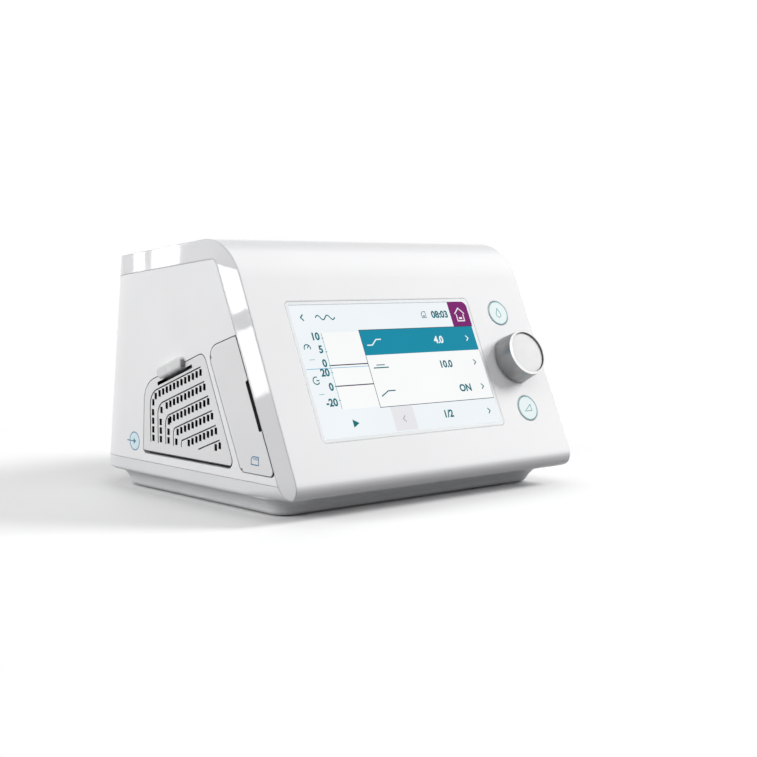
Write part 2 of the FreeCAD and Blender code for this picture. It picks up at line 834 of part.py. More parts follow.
def lcd_panel():
    return on_fascia(fascia_box(lcd_x0, lcd_x1, lcd_v0, lcd_v1, lcd_back, lcd_front, 1.0))


def display_bracket():
    grow = bracket_wall
    tray = fascia_box(lcd_x0 - grow, lcd_x1 + grow, lcd_v0 - grow, lcd_v1 + grow, plate_back, lcd_front, 2.0)
    gap = fit_gap
    tray = tray.cut(fascia_box(lcd_x0 - gap, lcd_x1 + gap, lcd_v0 - gap, lcd_v1 + gap, plate_front, far))
    ears = []
    for x, v in studs:
        toward = 1.0 if x < display_left_x else -1.0
        reach = x + toward * (stud_reach + bracket_wall)
        ears.append(fascia_box(min(x, reach), max(x, reach), v - stud_radius, v + stud_radius,
                               plate_back, plate_front))
        ears.append(fascia_rod(stud_radius, x, v, board_front, plate_front))
    bracket = tray.multiFuse(ears)
    holes = [fascia_rod(stud_screw_radius + screw_clearance, x, v, -far / 4, far / 4) for x, v in studs]
    rim = bracket_window
    window = fascia_box(lcd_x0 + rim, lcd_x1 - rim, lcd_v0 + rim, lcd_v1 - rim,
                        plate_back - 1, plate_front + 1, 3.0)
    return on_fascia(bracket.cut(holes + [window]))


control_edge = control_x + encoder_side / 2.0 + 5.0


def front_board():
    board = fascia_box(stud_x[0] - stud_radius, control_edge, lcd_v0 + 4.0, lcd_v1 - 2.5,
                       board_back, board_front, 2.0)
    radius = stud_screw_radius + screw_clearance
    holes = [fascia_rod(radius, x, v, board_back - 1, board_front + 1) for x, v in studs]
    half = ribbon_width / 2.0 + 2.0
    socket = fascia_box(-half, half, 2.0, 7.0, board_back - 2.0, board_back + 0.2)
    return on_fascia(board.cut(holes).fuse(socket))


def front_screws():
    length = -board_back - wall
    return [on_fascia(stud_screw((x, v, board_back), (0, 0, 1), length)) for x, v in studs]


# --- knob and its encoder ---

encoder_top = board_front + 5.8
cavity_low = board_front + 0.6
cavity_high = encoder_top - 1.8
plate_gap = 0.2
plate_thickness = 1.0


def encoder_body():
    half = encoder_side / 2.0
    body = fascia_box(control_x - half, control_x + half, knob_v - half, knob_v + half,
                      board_front, encoder_top, 0.8)
    body = body.fuse(fascia_rod(bushing_radius, control_x, knob_v, encoder_top, knob_gap + 1.2))
    cavity = fascia_rod(5.0, control_x, knob_v, cavity_low, cavity_high)
    bore = fascia_rod(shaft_radius + running_fit, control_x, knob_v, cavity_low, far)
    return on_fascia(body.cut([cavity, bore]))


flange_high = cavity_high - plate_gap
flange_low = flange_high - plate_thickness
plunger_high = flange_low - plate_gap
plunger_low = cavity_low + knob_push + plate_gap


def encoder_plunger():
    disc = fascia_rod(4.2, control_x, knob_v, plunger_low, plunger_high)
    return on_fascia(disc.cut(fascia_rod(1.0, control_x, knob_v, -far, far)))


def encoder_shaft():
    shaft = fascia_rod(shaft_radius, control_x, knob_v, flange_low, knob_height - 2.6)
    flange = fascia_rod(4.2, control_x, knob_v, flange_low, flange_high)
    flat = fascia_box(control_x + shaft_radius - 0.8, control_x + far, knob_v - far, knob_v + far,
                      knob_gap + 2.0, far)
    return on_fascia(shaft.fuse(flange).cut(flat))


cap_low = knob_height - cap_recess - cap_thickness
cap_radius = knob_top_radius - knob_chamfer - 0.25


def knob_body():
    chamfer_foot = knob_height - knob_chamfer
    outer = [(0, knob_gap), (knob_base_radius - 0.4, knob_gap), (knob_base_radius, knob_gap + 0.4),
             (knob_top_radius, chamfer_foot), (knob_top_radius - knob_chamfer, knob_height), (0, knob_height)]
    body = turned(outer)
    recess = fascia_rod(cap_radius + fit_gap / 2.0, 0, 0, cap_low, far)
    hollow = tube(knob_top_radius - knob_skin, hub_radius, (0, 0, 0), (0, 0, 1), cap_low - 1.4)
    under = fascia_rod(hub_radius + 1.0, 0, 0, 0, knob_gap + 2.0)
    bore = fascia_rod(shaft_radius + running_fit / 2.0, 0, 0, 0, knob_height - 2.5)
    body = body.cut([recess, hollow, under, bore])
    body.translate(Vector(control_x, knob_v, 0))
    flat = fascia_box(control_x + shaft_radius - 0.75, control_x + shaft_radius + 0.5, knob_v - shaft_radius,
                      knob_v + shaft_radius, knob_gap + 2.0, knob_height - 2.5)
    return on_fascia(body.fuse(flat))


def knob_cap():
    top = knob_height - cap_recess
    disc = turned([(0, cap_low), (cap_radius, cap_low), (cap_radius, top - 0.2),
                   (cap_radius - 0.2, top), (0, top)])
    disc.translate(Vector(control_x, knob_v, 0))
    return on_fascia(disc)


# --- keys ---

flange_top = -wall - running_fit
flange_bottom = flange_top - key_flange_thickness
switch_top = board_front + switch_height
stem_end = switch_top + key_travel + fit_gap


def key_cap(v):
    top = [(0, stem_end), (key_stem_radius, stem_end), (key_stem_radius, flange_bottom),
           (key_radius + key_flange, flange_bottom), (key_radius + key_flange, flange_top),
           (key_radius, flange_top), (key_radius, key_proud - 0.3), (key_radius - 0.3, key_proud),
           (0, key_proud)]
    cap = turned(top)
    cap.translate(Vector(control_x, v, 0))
    return on_fascia(cap)


def key_return_pad():
    # A silicone sheet on the board with a dome round each key's stem; the domes take up the keys' travel.
    thickness = 0.8
    dome_top = flange_bottom - key_travel - fit_gap
    opening = switch_side / 2.0 * math.sqrt(2.0) + 0.3
    pads = []
    for v in keys_v:
        half = key_radius + 1.2
        sheet = fascia_box(control_x - half, control_x + half, v - half, v + half, board_front,
                           board_front + thickness, 2.0)
        dome = turned([(opening, board_front), (opening + 2.2, board_front), (key_radius + 0.2, dome_top),
                       (key_radius - 1.0, dome_top), (opening, dome_top - 1.0)])
        dome.translate(Vector(control_x, v, 0))
        hole = fascia_rod(opening, control_x, v, board_front - 1, far)
        pads.append(sheet.cut(hole).fuse(dome))
    return [on_fascia(pad) for pad in pads]


def key_switches():
    switches = []
    half = switch_side / 2.0
    for v in keys_v:
        case = fascia_box(control_x - half, control_x + half, v - half, v + half,
                          board_front, switch_top - 0.6)
        button = fascia_rod(1.6, control_x, v, switch_top - 0.6, switch_top)
        switches.append(on_fascia(case.fuse(button)))
    return switches


# --- filter door, latch and filter ---

fall = math.radians(filter_top_fall)
row = (math.cos(fall), -math.sin(fall))
up = (math.sin(fall), math.cos(fall))


def along_row(origin, forward, rise):
    return origin[0] + row[0] * forward + up[0] * rise, origin[1] + row[1] * forward + up[1] * rise


latch_origin = (latch_y, filter_top_z - latch_y * math.tan(fall))


def latch_box(half_length, low, high, depth0, depth1, radius=0.0):
    corners = [along_row(latch_origin, a, b)
               for a, b in box_outline(-half_length, half_length, low, high)]
    return side_prism(corners, [radius] * 4, depth0, depth1)


def rib_start(index):
    front = math.radians(filter_front_slope)
    return rib_first_y - index * rib_step * math.cos(front), rib_first_z - index * rib_step * math.sin(front)


def rib_corner(index, offset):
    # Where the slanted and upright lines of a louvre row meet, for the rib itself or a line beside it.
    start = rib_start(index)
    drop = offset / math.cos(fall)
    y = rib_rear_y - index * rib_rear_step - offset
    return y, start[1] - drop - (y - start[0]) * math.tan(fall)


def rib_groove(index):
    half = rib_width / 2.0
    start = rib_start(index)
    outer = rib_corner(index, -half)
    inner = rib_corner(index, half)
    bend = max(rib_bend_first - index * rib_bend_step, rib_width)
    start_outer = (start[0], start[1] + half / math.cos(fall))
    start_inner = (start[0], start[1] - half / math.cos(fall))
    if outer[1] - bend > rib_bottom_z:
        points = [start_inner, inner, (inner[0], rib_bottom_z), (outer[0], rib_bottom_z), outer, start_outer]
        radii = [0, bend - half, 0, 0, bend + half, 0]
    else:
        level = ((0.0, rib_bottom_z + half), (1.0, rib_bottom_z + half))
        end = meet(start, rib_corner(index, 0.0), *level)
        points = [start_inner, (end[0], end[1] - half), (end[0], end[1] + half), start_outer]
        radii = [0, 0, 0, 0]
    return side_prism(points, radii, -wall, rib_depth)


def slot_spots(index):
    # The middle of each air slot of a row: along the slant, round the bend, then down to the lower end.
    start = rib_start(index)
    corner = rib_corner(index, slot_offset)
    bend = max(rib_bend_first - index * rib_bend_step - slot_offset, 0.0)
    turn = math.radians(90.0 - filter_top_fall)
    run = bend * math.tan(turn / 2.0)
    lowest = rib_bottom_z + slot_height / 2.0 + slot_end_gap
    spots = []
    y = start[0]
    z = corner[1] + (corner[0] - y) * math.tan(fall)
    while y < corner[0] - run * math.cos(fall) and z > lowest:
        spots.append((y, z))
        y += slot_pitch_row
        z -= slot_pitch_row * math.tan(fall)
    around = int(bend * turn / slot_pitch_column + 0.5)
    for i in range(around):
        heading = turn * (1.0 - (i + 0.5) / around)
        spots.append((corner[0] - bend + bend * math.cos(heading),
                      corner[1] - run + bend * math.sin(heading)))
    z = lowest
    while z < corner[1] - run - slot_height / 2.0:
        spots.append((corner[0], z))
        z += slot_pitch_column
    return spots


def slot_cutters():
    half_y = slot_width / 2.0
    half_z = slot_height / 2.0
    spots = [spot for index in range(rib_count) for spot in slot_spots(index)]
    return [block((side_x - wall, y - half_y, z - half_z), (side_x + 2 * wall, y + half_y, z + half_z))
            for y, z in spots]


def filter_door():
    outline = filter_outline()
    plate = side_prism(outline, filter_radii, door_front, door_thickness)
    above = block((-far, -far, filter_axis_z), (far, far, far))
    knuckle = rod(knuckle_radius, (filter_hinge_x, -far, filter_axis_z), (0, 1, 0), 2 * far)
    door = plate.common(above.fuse(knuckle))
    half_slot = latch_slot_length / 2.0
    half_core = latch_core_length / 2.0 + screw_clearance
    cuts = [latch_box(half_slot, -latch_below - latch_slot_width, -latch_below, -wall, 2 * wall)]
    cuts.append(latch_box(half_core, -latch_below - 0.1, latch_above, -wall, 2 * wall))
    cuts += [rib_groove(index) for index in range(rib_count)]
    cuts += slot_cutters()
    cuts += filter_pins(pin_radius + pin_fit, pin_reach)
    return door.cut(cuts)


def filter_latch():
    outer = -latch_float - latch_proud
    bump = latch_box(latch_length / 2.0, -latch_below, latch_above, outer, -latch_float, 2.4)
    rim = [edge for edge in bump.Edges if edge.BoundBox.XMax < side_x + outer + 0.01]
    bump = bump.makeFillet(min(1.4, latch_proud / 2.0), rim)
    core = latch_box(latch_core_length / 2.0, -latch_below, -0.1, -latch_float - 0.2, door_thickness + 0.4)
    keeper = latch_box(latch_core_length / 2.0 + 4.0, -latch_below, -0.2, door_thickness + 0.2,
                       door_thickness + 1.6)
    return bump.multiFuse([core, keeper])


def filter_door_pins():
    return filter_pins(pin_radius, pin_reach)


def filter_tray():
    opening = inset(filter_outline(), [-door_bottom_gap, -door_gap, -door_gap, -door_gap])
    radii = grown_radii(filter_radii, door_gap)
    outer = even_inset(opening, -tray_wall)
    tray = side_prism(outer, grown_radii(radii, tray_wall), panel_back, panel_back + tray_depth)
    tray = tray.cut(side_prism(opening, radii, 0.0, panel_back + tray_depth - tray_wall))
    window = rod(duct_radius, (side_x, duct_y, duct_z), (1, 0, 0), far)
    return tray.cut(window)


foam_front = door_thickness + 2.1


def filter_foam():
    outline = even_inset(filter_outline(), foam_inset)
    foam_back = panel_back + tray_depth - tray_wall
    return side_prism(outline, shrunk(filter_radii, foam_inset), foam_front, foam_back)


# --- card door, bay and card ---

def along_card(a, b):
    # A point on the left side, from its distances along and in front of the card door's hinge axis.
    y = card_axis[0] + card_along[1] * a + card_across[0] * b
    z = card_axis[1] + card_along[2] * a + card_across[1] * b
    return y, z


def corner_run(points, radii, i):
    # How far from corner i its rounding begins.
    back = unit(points[i], points[i - 1])
    ahead = unit(points[i], points[(i + 1) % len(points)])
    half = 0.5 * math.acos(back[0] * ahead[0] + back[1] * ahead[1])
    return radii[i] / math.tan(half)


def hinge_reliefs():
    # Shallow steps in the door's face at its two hinge corners, so that they swing clear of the panel.
    outline = card_outline()
    length = card_rear_length()
    low_end = corner_run(outline, card_radii, 1) - relief_start * card_radii[1]
    high_end = length - corner_run(outline, card_radii, 2) + relief_start * card_radii[2]
    across = card_hinge_depth * relief_reach
    reliefs = []
    for low, high in ((-far / 4, low_end), (high_end, length + far / 4)):
        corners = [along_card(a, b) for a, b in box_outline(low, high, -far / 4, across)]
        reliefs.append(side_prism(corners, [0] * 4, -wall, card_hinge_depth + relief_below))
    return reliefs


def card_door():
    outline = card_outline()
    door = side_prism(outline, card_radii, door_front, door_thickness)
    foot, head = outline[0], outline[3]
    edge = unit(foot, head)
    into = (edge[1], -edge[0])
    notch = []
    for distance, depth in ((notch_low, -wall), (notch_low, notch_depth), (notch_high, notch_depth),
                            (notch_high, -wall)):
        notch.append((foot[0] + edge[0] * distance + into[0] * depth,
                      foot[1] + edge[1] * distance + into[1] * depth))
    cuts = [side_prism(notch, [0, 0.8, 0.8, 0], -wall, 2 * wall)]
    cuts += card_pins(card_pin_radius + pin_fit, pin_reach)
    cuts += hinge_reliefs()
    return door.cut(cuts)


def card_door_pins():
    return card_pins(card_pin_radius, pin_reach)


def card_middle():
    outline = card_outline()
    rear = (card_rear_y + card_along[1] * card_up, card_bottom_z + card_along[2] * card_up)
    front = meet(rear, (rear[0] + card_across[0], rear[1] + card_across[1]), outline[0], outline[3])
    return 0.5 * (rear[0] + front[0]), 0.5 * (rear[1] + front[1])


def card_box(half_length, half_thickness, depth0, depth1):
    middle = card_middle()
    corners = []
    for a, b in box_outline(-half_length, half_length, -half_thickness, half_thickness):
        corners.append((middle[0] + card_along[1] * a + card_across[0] * b,
                        middle[1] + card_along[2] * a + card_across[1] * b))
    return side_prism(corners, [0] * 4, depth0, depth1)


bay_front = max(panel_back, door_thickness + screw_clearance)
bay_floor = bay_front + bay_depth


def card_bay():
    well = inset(card_outline(), [bay_side_inset, bay_side_inset, bay_side_inset, bay_inset])
    radii = shrunk(card_radii, bay_side_inset)
    bay = side_prism(well, radii, bay_front, bay_floor + bay_wall)
    grow = door_gap + bay_flange
    flange = inset(card_outline(), [-grow, -grow, -grow, bay_inset])
    bay = bay.fuse(side_prism(flange, [1.0] * 4, bay_front, bay_front + bay_wall))
    inner = even_inset(well, bay_wall)
    slot = card_box(card_width / 2.0 + 0.5, card_thickness / 2.0 + 0.5, 0.0, far / 4)
    return bay.cut([side_prism(inner, shrunk(radii, bay_wall), 0.0, bay_floor), slot])


def card_socket():
    gap = 0.2
    half_w = card_width / 2.0 + gap
    half_t = card_thickness / 2.0 + gap
    depth0 = bay_floor + bay_wall
    depth1 = bay_floor + card_length - card_stands_out + 1.6
    socket = card_box(half_w + socket_wall, half_t + socket_wall, depth0, depth1 + socket_wall)
    return socket.cut(card_box(half_w, half_t, 0.0, depth1))


def memory_card():
    return card_box(card_width / 2.0, card_thickness / 2.0, bay_floor - card_stands_out,
                    bay_floor - card_stands_out + card_length)


# --- air path: all about the blower's upright axis ---

def on_blower(shape):
    placed = shape.copy()
    placed.translate(Vector(blower_x, blower_y, 0))
    return placed


def upright_tube(outer, inner, low, high):
    return on_blower(tube(outer, inner, (0, 0, low), (0, 0, 1), high - low))


def chassis():
    outline = box_outline(-chassis_half_width, chassis_half_width, chassis_front_y, chassis_rear_y)
    plate = prism(outline, [4.0] * 4, plan_at(post_top), Vector(0, 0, chassis_thickness))
    ears = []
    for y in (post_front_y, post_rear_y):
        low = max(y - post_radius, chassis_front_y)
        high = min(y + post_radius, chassis_rear_y)
        ear = block((chassis_half_width - 6.0, low, post_top), (post_x + post_radius, high, box_bottom))
        ears += both_sides(ear)
    holes = corner_posts(screw_radius + screw_clearance, post_top - 1.0, far)
    holes.append(block((-ribbon_width / 2.0 - 1.0, chassis_front_y - 1.0, post_top - 1.0),
                       (ribbon_width / 2.0 + 1.0, chassis_front_y + ribbon_notch, box_bottom + 1.0)))
    tray_clear = inset(filter_outline(), [-door_bottom_gap, -door_gap, -door_gap, -door_gap])
    tray_clear = even_inset(tray_clear, -tray_wall - 0.5)
    holes.append(side_prism(tray_clear, grown_radii(filter_radii, 2.5), 0.0, panel_back + tray_depth + 0.5))
    return plate.multiFuse(ears).cut(holes)


def chassis_screws():
    length = chassis_thickness + 7.0
    return [case_screw((x, y, box_bottom), (0, 0, -1), length) for x, y in post_spots()]


def inlet_duct():
    start = side_x + panel_back + tray_depth
    length = box_left_x - start
    duct = tube(duct_radius + duct_wall, duct_radius, (start, duct_y, duct_z), (1, 0, 0), length)
    spigot = tube(duct_radius, duct_radius - duct_wall, (start - tray_wall, duct_y, duct_z), (1, 0, 0),
                  length + tray_wall + box_wall)
    return duct.fuse(spigot)


spigot_end_y = box_rear_y + 4.0


def muffler_box():
    outline = box_outline(box_left_x, box_right_x, box_front_y, box_rear_y)
    walls = [box_corner] * 4
    box = prism(outline, walls, plan_at(box_bottom), Vector(0, 0, box_height))
    inner = even_inset(outline, box_wall)
    box = box.cut(prism(inner, shrunk(walls, box_wall), plan_at(box_bottom + box_wall), Vector(0, 0, far)))
    duct_hole = rod(duct_radius + fit_gap, (box_left_x - 1.0, duct_y, duct_z), (1, 0, 0), box_wall + 2.0)
    outlet_start = (outlet_x, box_rear_y - box_wall - 1.0, outlet_z)
    outlet_hole = rod(outlet_bore + outlet_wall + 0.6, outlet_start, (0, 1, 0), box_wall + 2.0)
    return box.cut([duct_hole, outlet_hole])


def muffler_lid():
    outline = box_outline(box_left_x, box_right_x, box_front_y, box_rear_y)
    top = box_bottom + box_height
    lid = prism(outline, [box_corner] * 4, plan_at(top), Vector(0, 0, box_wall))
    rim_outline = even_inset(outline, box_wall + screw_clearance)
    rim_radius = box_corner - box_wall
    rim = prism(rim_outline, [rim_radius] * 4, plan_at(top - lid_rim), Vector(0, 0, lid_rim))
    hollow = prism(even_inset(rim_outline, box_wall), [0] * 4, plan_at(top - 2 * lid_rim),
                   Vector(0, 0, 2 * lid_rim))
    rim = rim.cut(hollow)
    return lid.fuse(rim)


def muffler_foam():
    right = blower_x - blower_radius - 3.0
    gap = 0.3
    outline = box_outline(box_left_x + box_wall + gap, right, box_front_y + box_wall + gap,
                          box_rear_y - box_wall - gap)
    radii = [box_corner - box_wall, 0, 0, box_corner - box_wall]
    height = box_height - box_wall - lid_rim - 0.5
    foam = prism(outline, radii, plan_at(box_bottom + box_wall), Vector(0, 0, height))
    return foam.cut(rod(duct_radius - 2.0, (box_left_x, duct_y, duct_z), (1, 0, 0), far))


def blower_grommets():
    grommets = []
    for i in range(3):
        angle = math.radians(30.0 + 120.0 * i)
        x = blower_x + grommet_circle * math.cos(angle)
        y = blower_y + grommet_circle * math.sin(angle)
        grommets.append(tube(grommet_radius, 1.2, (x, y, box_bottom + box_wall), (0, 0, 1), grommet_height))
    return grommets


floor_top = blower_bottom + blower_wall
bearing_low = floor_top + 0.1
bearing_seat_high = bearing_low + bearing_height
magnet_low = bearing_seat_high + 1.0
magnet_high = well_top - 3.5
cap_plate = 2.0
bearing_fit = 0.03


def blower_lower():
    body = upright_tube(blower_radius, motor_well_radius, blower_bottom, well_top)
    floor_disc = upright_tube(blower_radius, motor_shaft_radius + 0.5, blower_bottom, floor_top)
    seat = upright_tube(bearing_radius + 1.6, bearing_radius + bearing_fit, floor_top, bearing_seat_high)
    pocket = upright_tube(blower_radius - blower_wall, motor_well_radius + blower_wall,
                          floor_top, well_top - 2.0)
    return body.cut(pocket).multiFuse([floor_disc, seat])


def bearing(low):
    return upright_tube(bearing_radius, motor_shaft_radius + 0.02, low, low + bearing_height)


def stator():
    ring = upright_tube(stator_outer_radius, stator_outer_radius - 2.0, magnet_low, magnet_high)
    teeth = []
    for i in range(6):
        tooth = block((stator_inner_radius, -2.4, magnet_low), (stator_outer_radius - 1.0, 2.4, magnet_high))
        tooth.rotate(Vector(0, 0, 0), Vector(0, 0, 1), 60.0 * i)
        teeth.append(on_blower(tooth))
    return ring.multiFuse(teeth)


def motor_cap():
    bore = bearing_radius + bearing_fit
    plate = upright_tube(motor_well_radius - fit_gap, bore, well_top - cap_plate, well_top)
    seat = upright_tube(bearing_radius + 1.6, bore, well_top - bearing_height, well_top)
    return plate.fuse(seat)


def motor_shaft():
    low = floor_top + 0.1
    return on_blower(rod(motor_shaft_radius, (0, 0, low), (0, 0, 1), well_top + impeller_height - low))


def rotor_magnet():
    return upright_tube(magnet_radius, motor_shaft_radius + 0.02, magnet_low, magnet_high)


def impeller():
    low = well_top + 1.2
    disc = tube(impeller_radius, motor_shaft_radius + 0.02, (0, 0, low), (0, 0, 1), 1.2)
    hub = tube(4.5, motor_shaft_radius + 0.02, (0, 0, low), (0, 0, 1), impeller_height - 1.2)
    blades = []
    thickness = 0.9
    for i in range(blade_count):
        inner = 8.0
        sweep = impeller_radius - 1.0
        outer_circle = rod(sweep, (sweep * 0.45, sweep * 0.9, low), (0, 0, 1), impeller_height)
        inner_circle = rod(sweep - thickness, (sweep * 0.45, sweep * 0.9, low), (0, 0, 1), impeller_height)
        ring = tube(impeller_radius - 0.5, inner, (0, 0, low), (0, 0, 1), impeller_height)
        half = block((0, -far / 4, low), (far / 4, far / 4, low + impeller_height))
        blade = outer_circle.cut(inner_circle).common(ring).common(half)
        blade.rotate(Vector(0, 0, 0), Vector(0, 0, 1), 360.0 / blade_count * i)
        blades.append(blade)
    return on_blower(disc.multiFuse([hub] + blades))


def blower_upper():
    top = well_top + chamber_height
    body = on_blower(rod(blower_radius, (0, 0, well_top), (0, 0, 1), chamber_height + blower_wall))
    ring = on_blower(rod(inlet_radius + blower_wall, (0, 0, top), (0, 0, 1), blower_wall + 2.0))
    outlet = rod(outlet_bore + outlet_wall, (outlet_x, blower_y, outlet_z), (0, 1, 0),
                 spigot_end_y - blower_y)
    body = body.multiFuse([ring, outlet])
    chamber = on_blower(rod(blower_radius - blower_wall, (0, 0, well_top), (0, 0, 1), chamber_height))
    inlet = on_blower(rod(inlet_radius, (0, 0, well_top), (0, 0, 1), far))
    bore = rod(outlet_bore, (outlet_x, blower_y, outlet_z), (0, 1, 0), far)
    below = block((-far, -far, -far), (far, far, well_top))
    return body.cut([chamber, inlet, bore, below])


port_inner_y = max(boss_inner_y - port_neck_length, spigot_end_y + bellows_room)
port_end_y = boss_face_y + port_length


def outlet_port():
    def along_outlet(radius, start, end):
        return rod(radius, (outlet_x, start, outlet_z), (0, 1, 0), end - start)

    port = along_outlet(port_radius, boss_face_y, port_end_y)
    neck = along_outlet(port_neck_radius, port_inner_y, boss_face_y)
    flange = along_outlet(port_flange_radius, boss_inner_y - 3.2, boss_inner_y - 1.2)
    body = port.multiFuse([neck, flange]).cut(along_outlet(port_bore, port_inner_y - 1.0, port_end_y + 1.0))
    rim = [edge for edge in body.Edges
           if edge.BoundBox.YMin > port_end_y - 0.01 and edge.BoundBox.XLength > 2 * port_radius - 0.1]
    return body.makeFillet(0.6, rim)


def outlet_seal():
    start = (outlet_x, boss_inner_y - 1.15, outlet_z)
    return tube(port_flange_radius, port_neck_radius + fit_gap, start, (0, 1, 0), 1.1)


def outlet_bellows():
    # A soft sleeve from the blower's spigot to the port, with one convolution between them.
    small = outlet_bore + outlet_wall + 0.1
    large = port_neck_radius + 0.1
    skin = 1.0
    start = spigot_end_y - 3.5
    end = port_inner_y + 5.0
    middle = 0.5 * (spigot_end_y + port_inner_y)
    profile_points = [(small, start), (small + skin, start), (small + skin, spigot_end_y),
                      (large + 2.5, middle), (large + skin, port_inner_y), (large + skin, end), (large, end),
                      (large, port_inner_y - 0.2), (large + 1.2, middle), (small, spigot_end_y + 0.2)]
    sleeve = turned(profile_points)
    sleeve.rotate(Vector(0, 0, 0), Vector(1, 0, 0), -90)
    sleeve.translate(Vector(outlet_x, 0, outlet_z))
    return sleeve


def flow_sensor():
    # A small box on the chassis behind the muffler, with two pressure nipples.
    front = box_rear_y + 1.0
    top = box_bottom + sensor_height
    left = outlet_x - sensor_offset
    body = block((left, front, box_bottom), (left + sensor_width, front + sensor_depth, top))
    nipples = [rod(nipple_radius, (left + sensor_width / 2.0 + side * 3.0, front + 2.0, top), (0, 0, 1), 4.0)
               for side in (-1, 1)]
    return body.multiFuse(nipples)


# --- electronics ---

def main_board():
    board = prism(box_outline(-board_half_width, board_half_width, board_front_y, board_rear_y), [2.0] * 4,
                  plan_at(board_z), Vector(0, 0, board_thickness))
    return board.cut(board_posts(stud_screw_radius + screw_clearance, board_z - 1.0, board_z + 3.0))


def board_parts():
    # A controller chip, the ribbon's connector, a coil, a driver chip and three capacitors.
    top = board_z + board_thickness
    parts = [block((-8.0, -4.0, top), (8.0, 12.0, top + 1.6))]
    parts.append(block((-ribbon_width / 2.0 - 4.0, board_front_y + 1.0, top),
                       (ribbon_width / 2.0 + 4.0, board_front_y + 6.0, top + connector_height)))
    parts.append(block((20.0, -20.0, top), (30.0, -10.0, top + 5.0)))
    parts.append(block((-36.0, 8.0, top), (-26.0, 14.0, top + 1.4)))
    for i in range(3):
        foot = (30.0, 10.0 + capacitor_pitch * i, top)
        parts.append(rod(capacitor_radius, foot, (0, 0, 1), capacitor_height))
    return parts


def board_screws():
    top = board_z + board_thickness
    spots = board_posts(stud_screw_radius, top, top + 1.0)
    seats = [(spot.CenterOfMass.x, spot.CenterOfMass.y, top) for spot in spots]
    return [stud_screw(seat, (0, 0, -1), 7.0) for seat in seats]


def dc_jack():
    base = board_z + board_thickness
    front = rear_y(base + jack_height) - wall * 1.02 - 0.4
    half = jack_width / 2.0
    body = block((jack_x - half, front - jack_length, base), (jack_x + half, front, base + jack_height))
    body = body.cut(rod(jack_bore, (jack_x, front - 10.0, jack_z), (0, 1, 0), far))
    return body.fuse(rod(jack_pin, (jack_x, front - 10.5, jack_z), (0, 1, 0), 9.5))


def display_cable():
    # A flat ribbon from the front board down to the main board's connector.
    start = fascia_place.multVec(Vector(0, 4.5, board_back - 2.2))
    end_z = board_z + board_thickness + connector_height
    end_y = board_front_y + 3.5
    out = fascia_place.Rotation.multVec(Vector(0, 0, -1))
    knee = Vector(0, end_y, start.z + (end_y - start.y) * out.z / out.y)
    half = ribbon_thickness / 2.0
    points = [(start.y, start.z - half), (knee.y - half, knee.z - half), (end_y - half, end_z),
              (end_y + half, end_z), (knee.y + half, knee.z + half), (start.y, start.z + half)]
    return prism(points, [0, 2.0, 0, 0, 2.4, 0], side_at(-ribbon_width / 2.0), Vector(ribbon_width, 0, 0))


def save(name, shape):
    group = shape if isinstance(shape, list) else [shape]
    solids = [solid for each in group for solid in each.Solids]
    whole = solids[0] if len(solids) == 1 else Part.makeCompound(solids)
    bad = [solid for solid in solids if not solid.isValid()]
    print(name, len(solids), "solids", "INVALID" if bad else "", round(whole.Volume, 1))
    whole.exportStep(os.path.join("parts", name + ".step"))


def main():
    os.makedirs("parts", exist_ok=True)
    envelope = case_envelope()
    save("front_shell", front_shell(envelope))
    save("rear_shell", rear_shell(envelope))
    save("lower_case", lower_case(envelope))
    for place, (x, y) in foot_spots().items():
        save("rubber_foot_" + place, rubber_foot(x, y))
    save("bearing_lower", bearing(bearing_low))
    save("bearing_upper", bearing(well_top - bearing_height))
    save("key_humidity", key_cap(keys_v[0]))
    save("key_ramp", key_cap(keys_v[1]))
    makers = [case_screws, touch_lens, lcd_panel, display_bracket, front_board, front_screws,
              encoder_body, encoder_plunger, encoder_shaft, knob_body, knob_cap, key_return_pad, key_switches,
              filter_door, filter_latch, filter_door_pins, filter_tray, filter_foam,
              card_door, card_door_pins, card_bay, card_socket, memory_card,
              chassis, chassis_screws, inlet_duct, muffler_box, muffler_lid, muffler_foam, blower_grommets,
              blower_lower, stator, motor_cap, motor_shaft, rotor_magnet, impeller, blower_upper,
              outlet_port, outlet_seal, outlet_bellows, flow_sensor,
              main_board, board_parts, board_screws, dc_jack, display_cable]
    for maker in makers:
        save(maker.__name__, maker())


main()
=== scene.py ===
import math
import bpy
import bmesh
from mathutils import Matrix, Vector


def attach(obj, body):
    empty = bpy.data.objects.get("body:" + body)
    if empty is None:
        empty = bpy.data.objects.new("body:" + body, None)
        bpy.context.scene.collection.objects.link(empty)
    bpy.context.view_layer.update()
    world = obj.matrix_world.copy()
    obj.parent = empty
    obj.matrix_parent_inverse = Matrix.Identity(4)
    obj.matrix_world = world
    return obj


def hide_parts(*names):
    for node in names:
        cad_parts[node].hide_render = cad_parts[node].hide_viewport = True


# A bedside CPAP machine. Metres, +X right seen from the front, the fascia faces -Y, Z up.

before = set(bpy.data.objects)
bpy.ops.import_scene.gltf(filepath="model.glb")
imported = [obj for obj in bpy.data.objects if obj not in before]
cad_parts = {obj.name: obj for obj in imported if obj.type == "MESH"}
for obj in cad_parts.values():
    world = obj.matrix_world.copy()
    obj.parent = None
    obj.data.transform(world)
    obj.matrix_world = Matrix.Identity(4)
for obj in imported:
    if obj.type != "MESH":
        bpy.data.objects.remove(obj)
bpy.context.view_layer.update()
print("frame loaded:", len(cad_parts), "nodes")
mm = 0.001
sideFace = -88.0      # where the left side's panels and doors have their face, mm


# colours, nodes and materials

def fromHex(text):
    # an sRGB hex colour as linear, opaque RGBA
    channels = [int(text[i:i + 2], 16) / 255 for i in (1, 3, 5)]
    return [c / 12.92 if c <= 0.04045 else ((c + 0.055) / 1.055) ** 2.4 for c in channels] + [1.0]


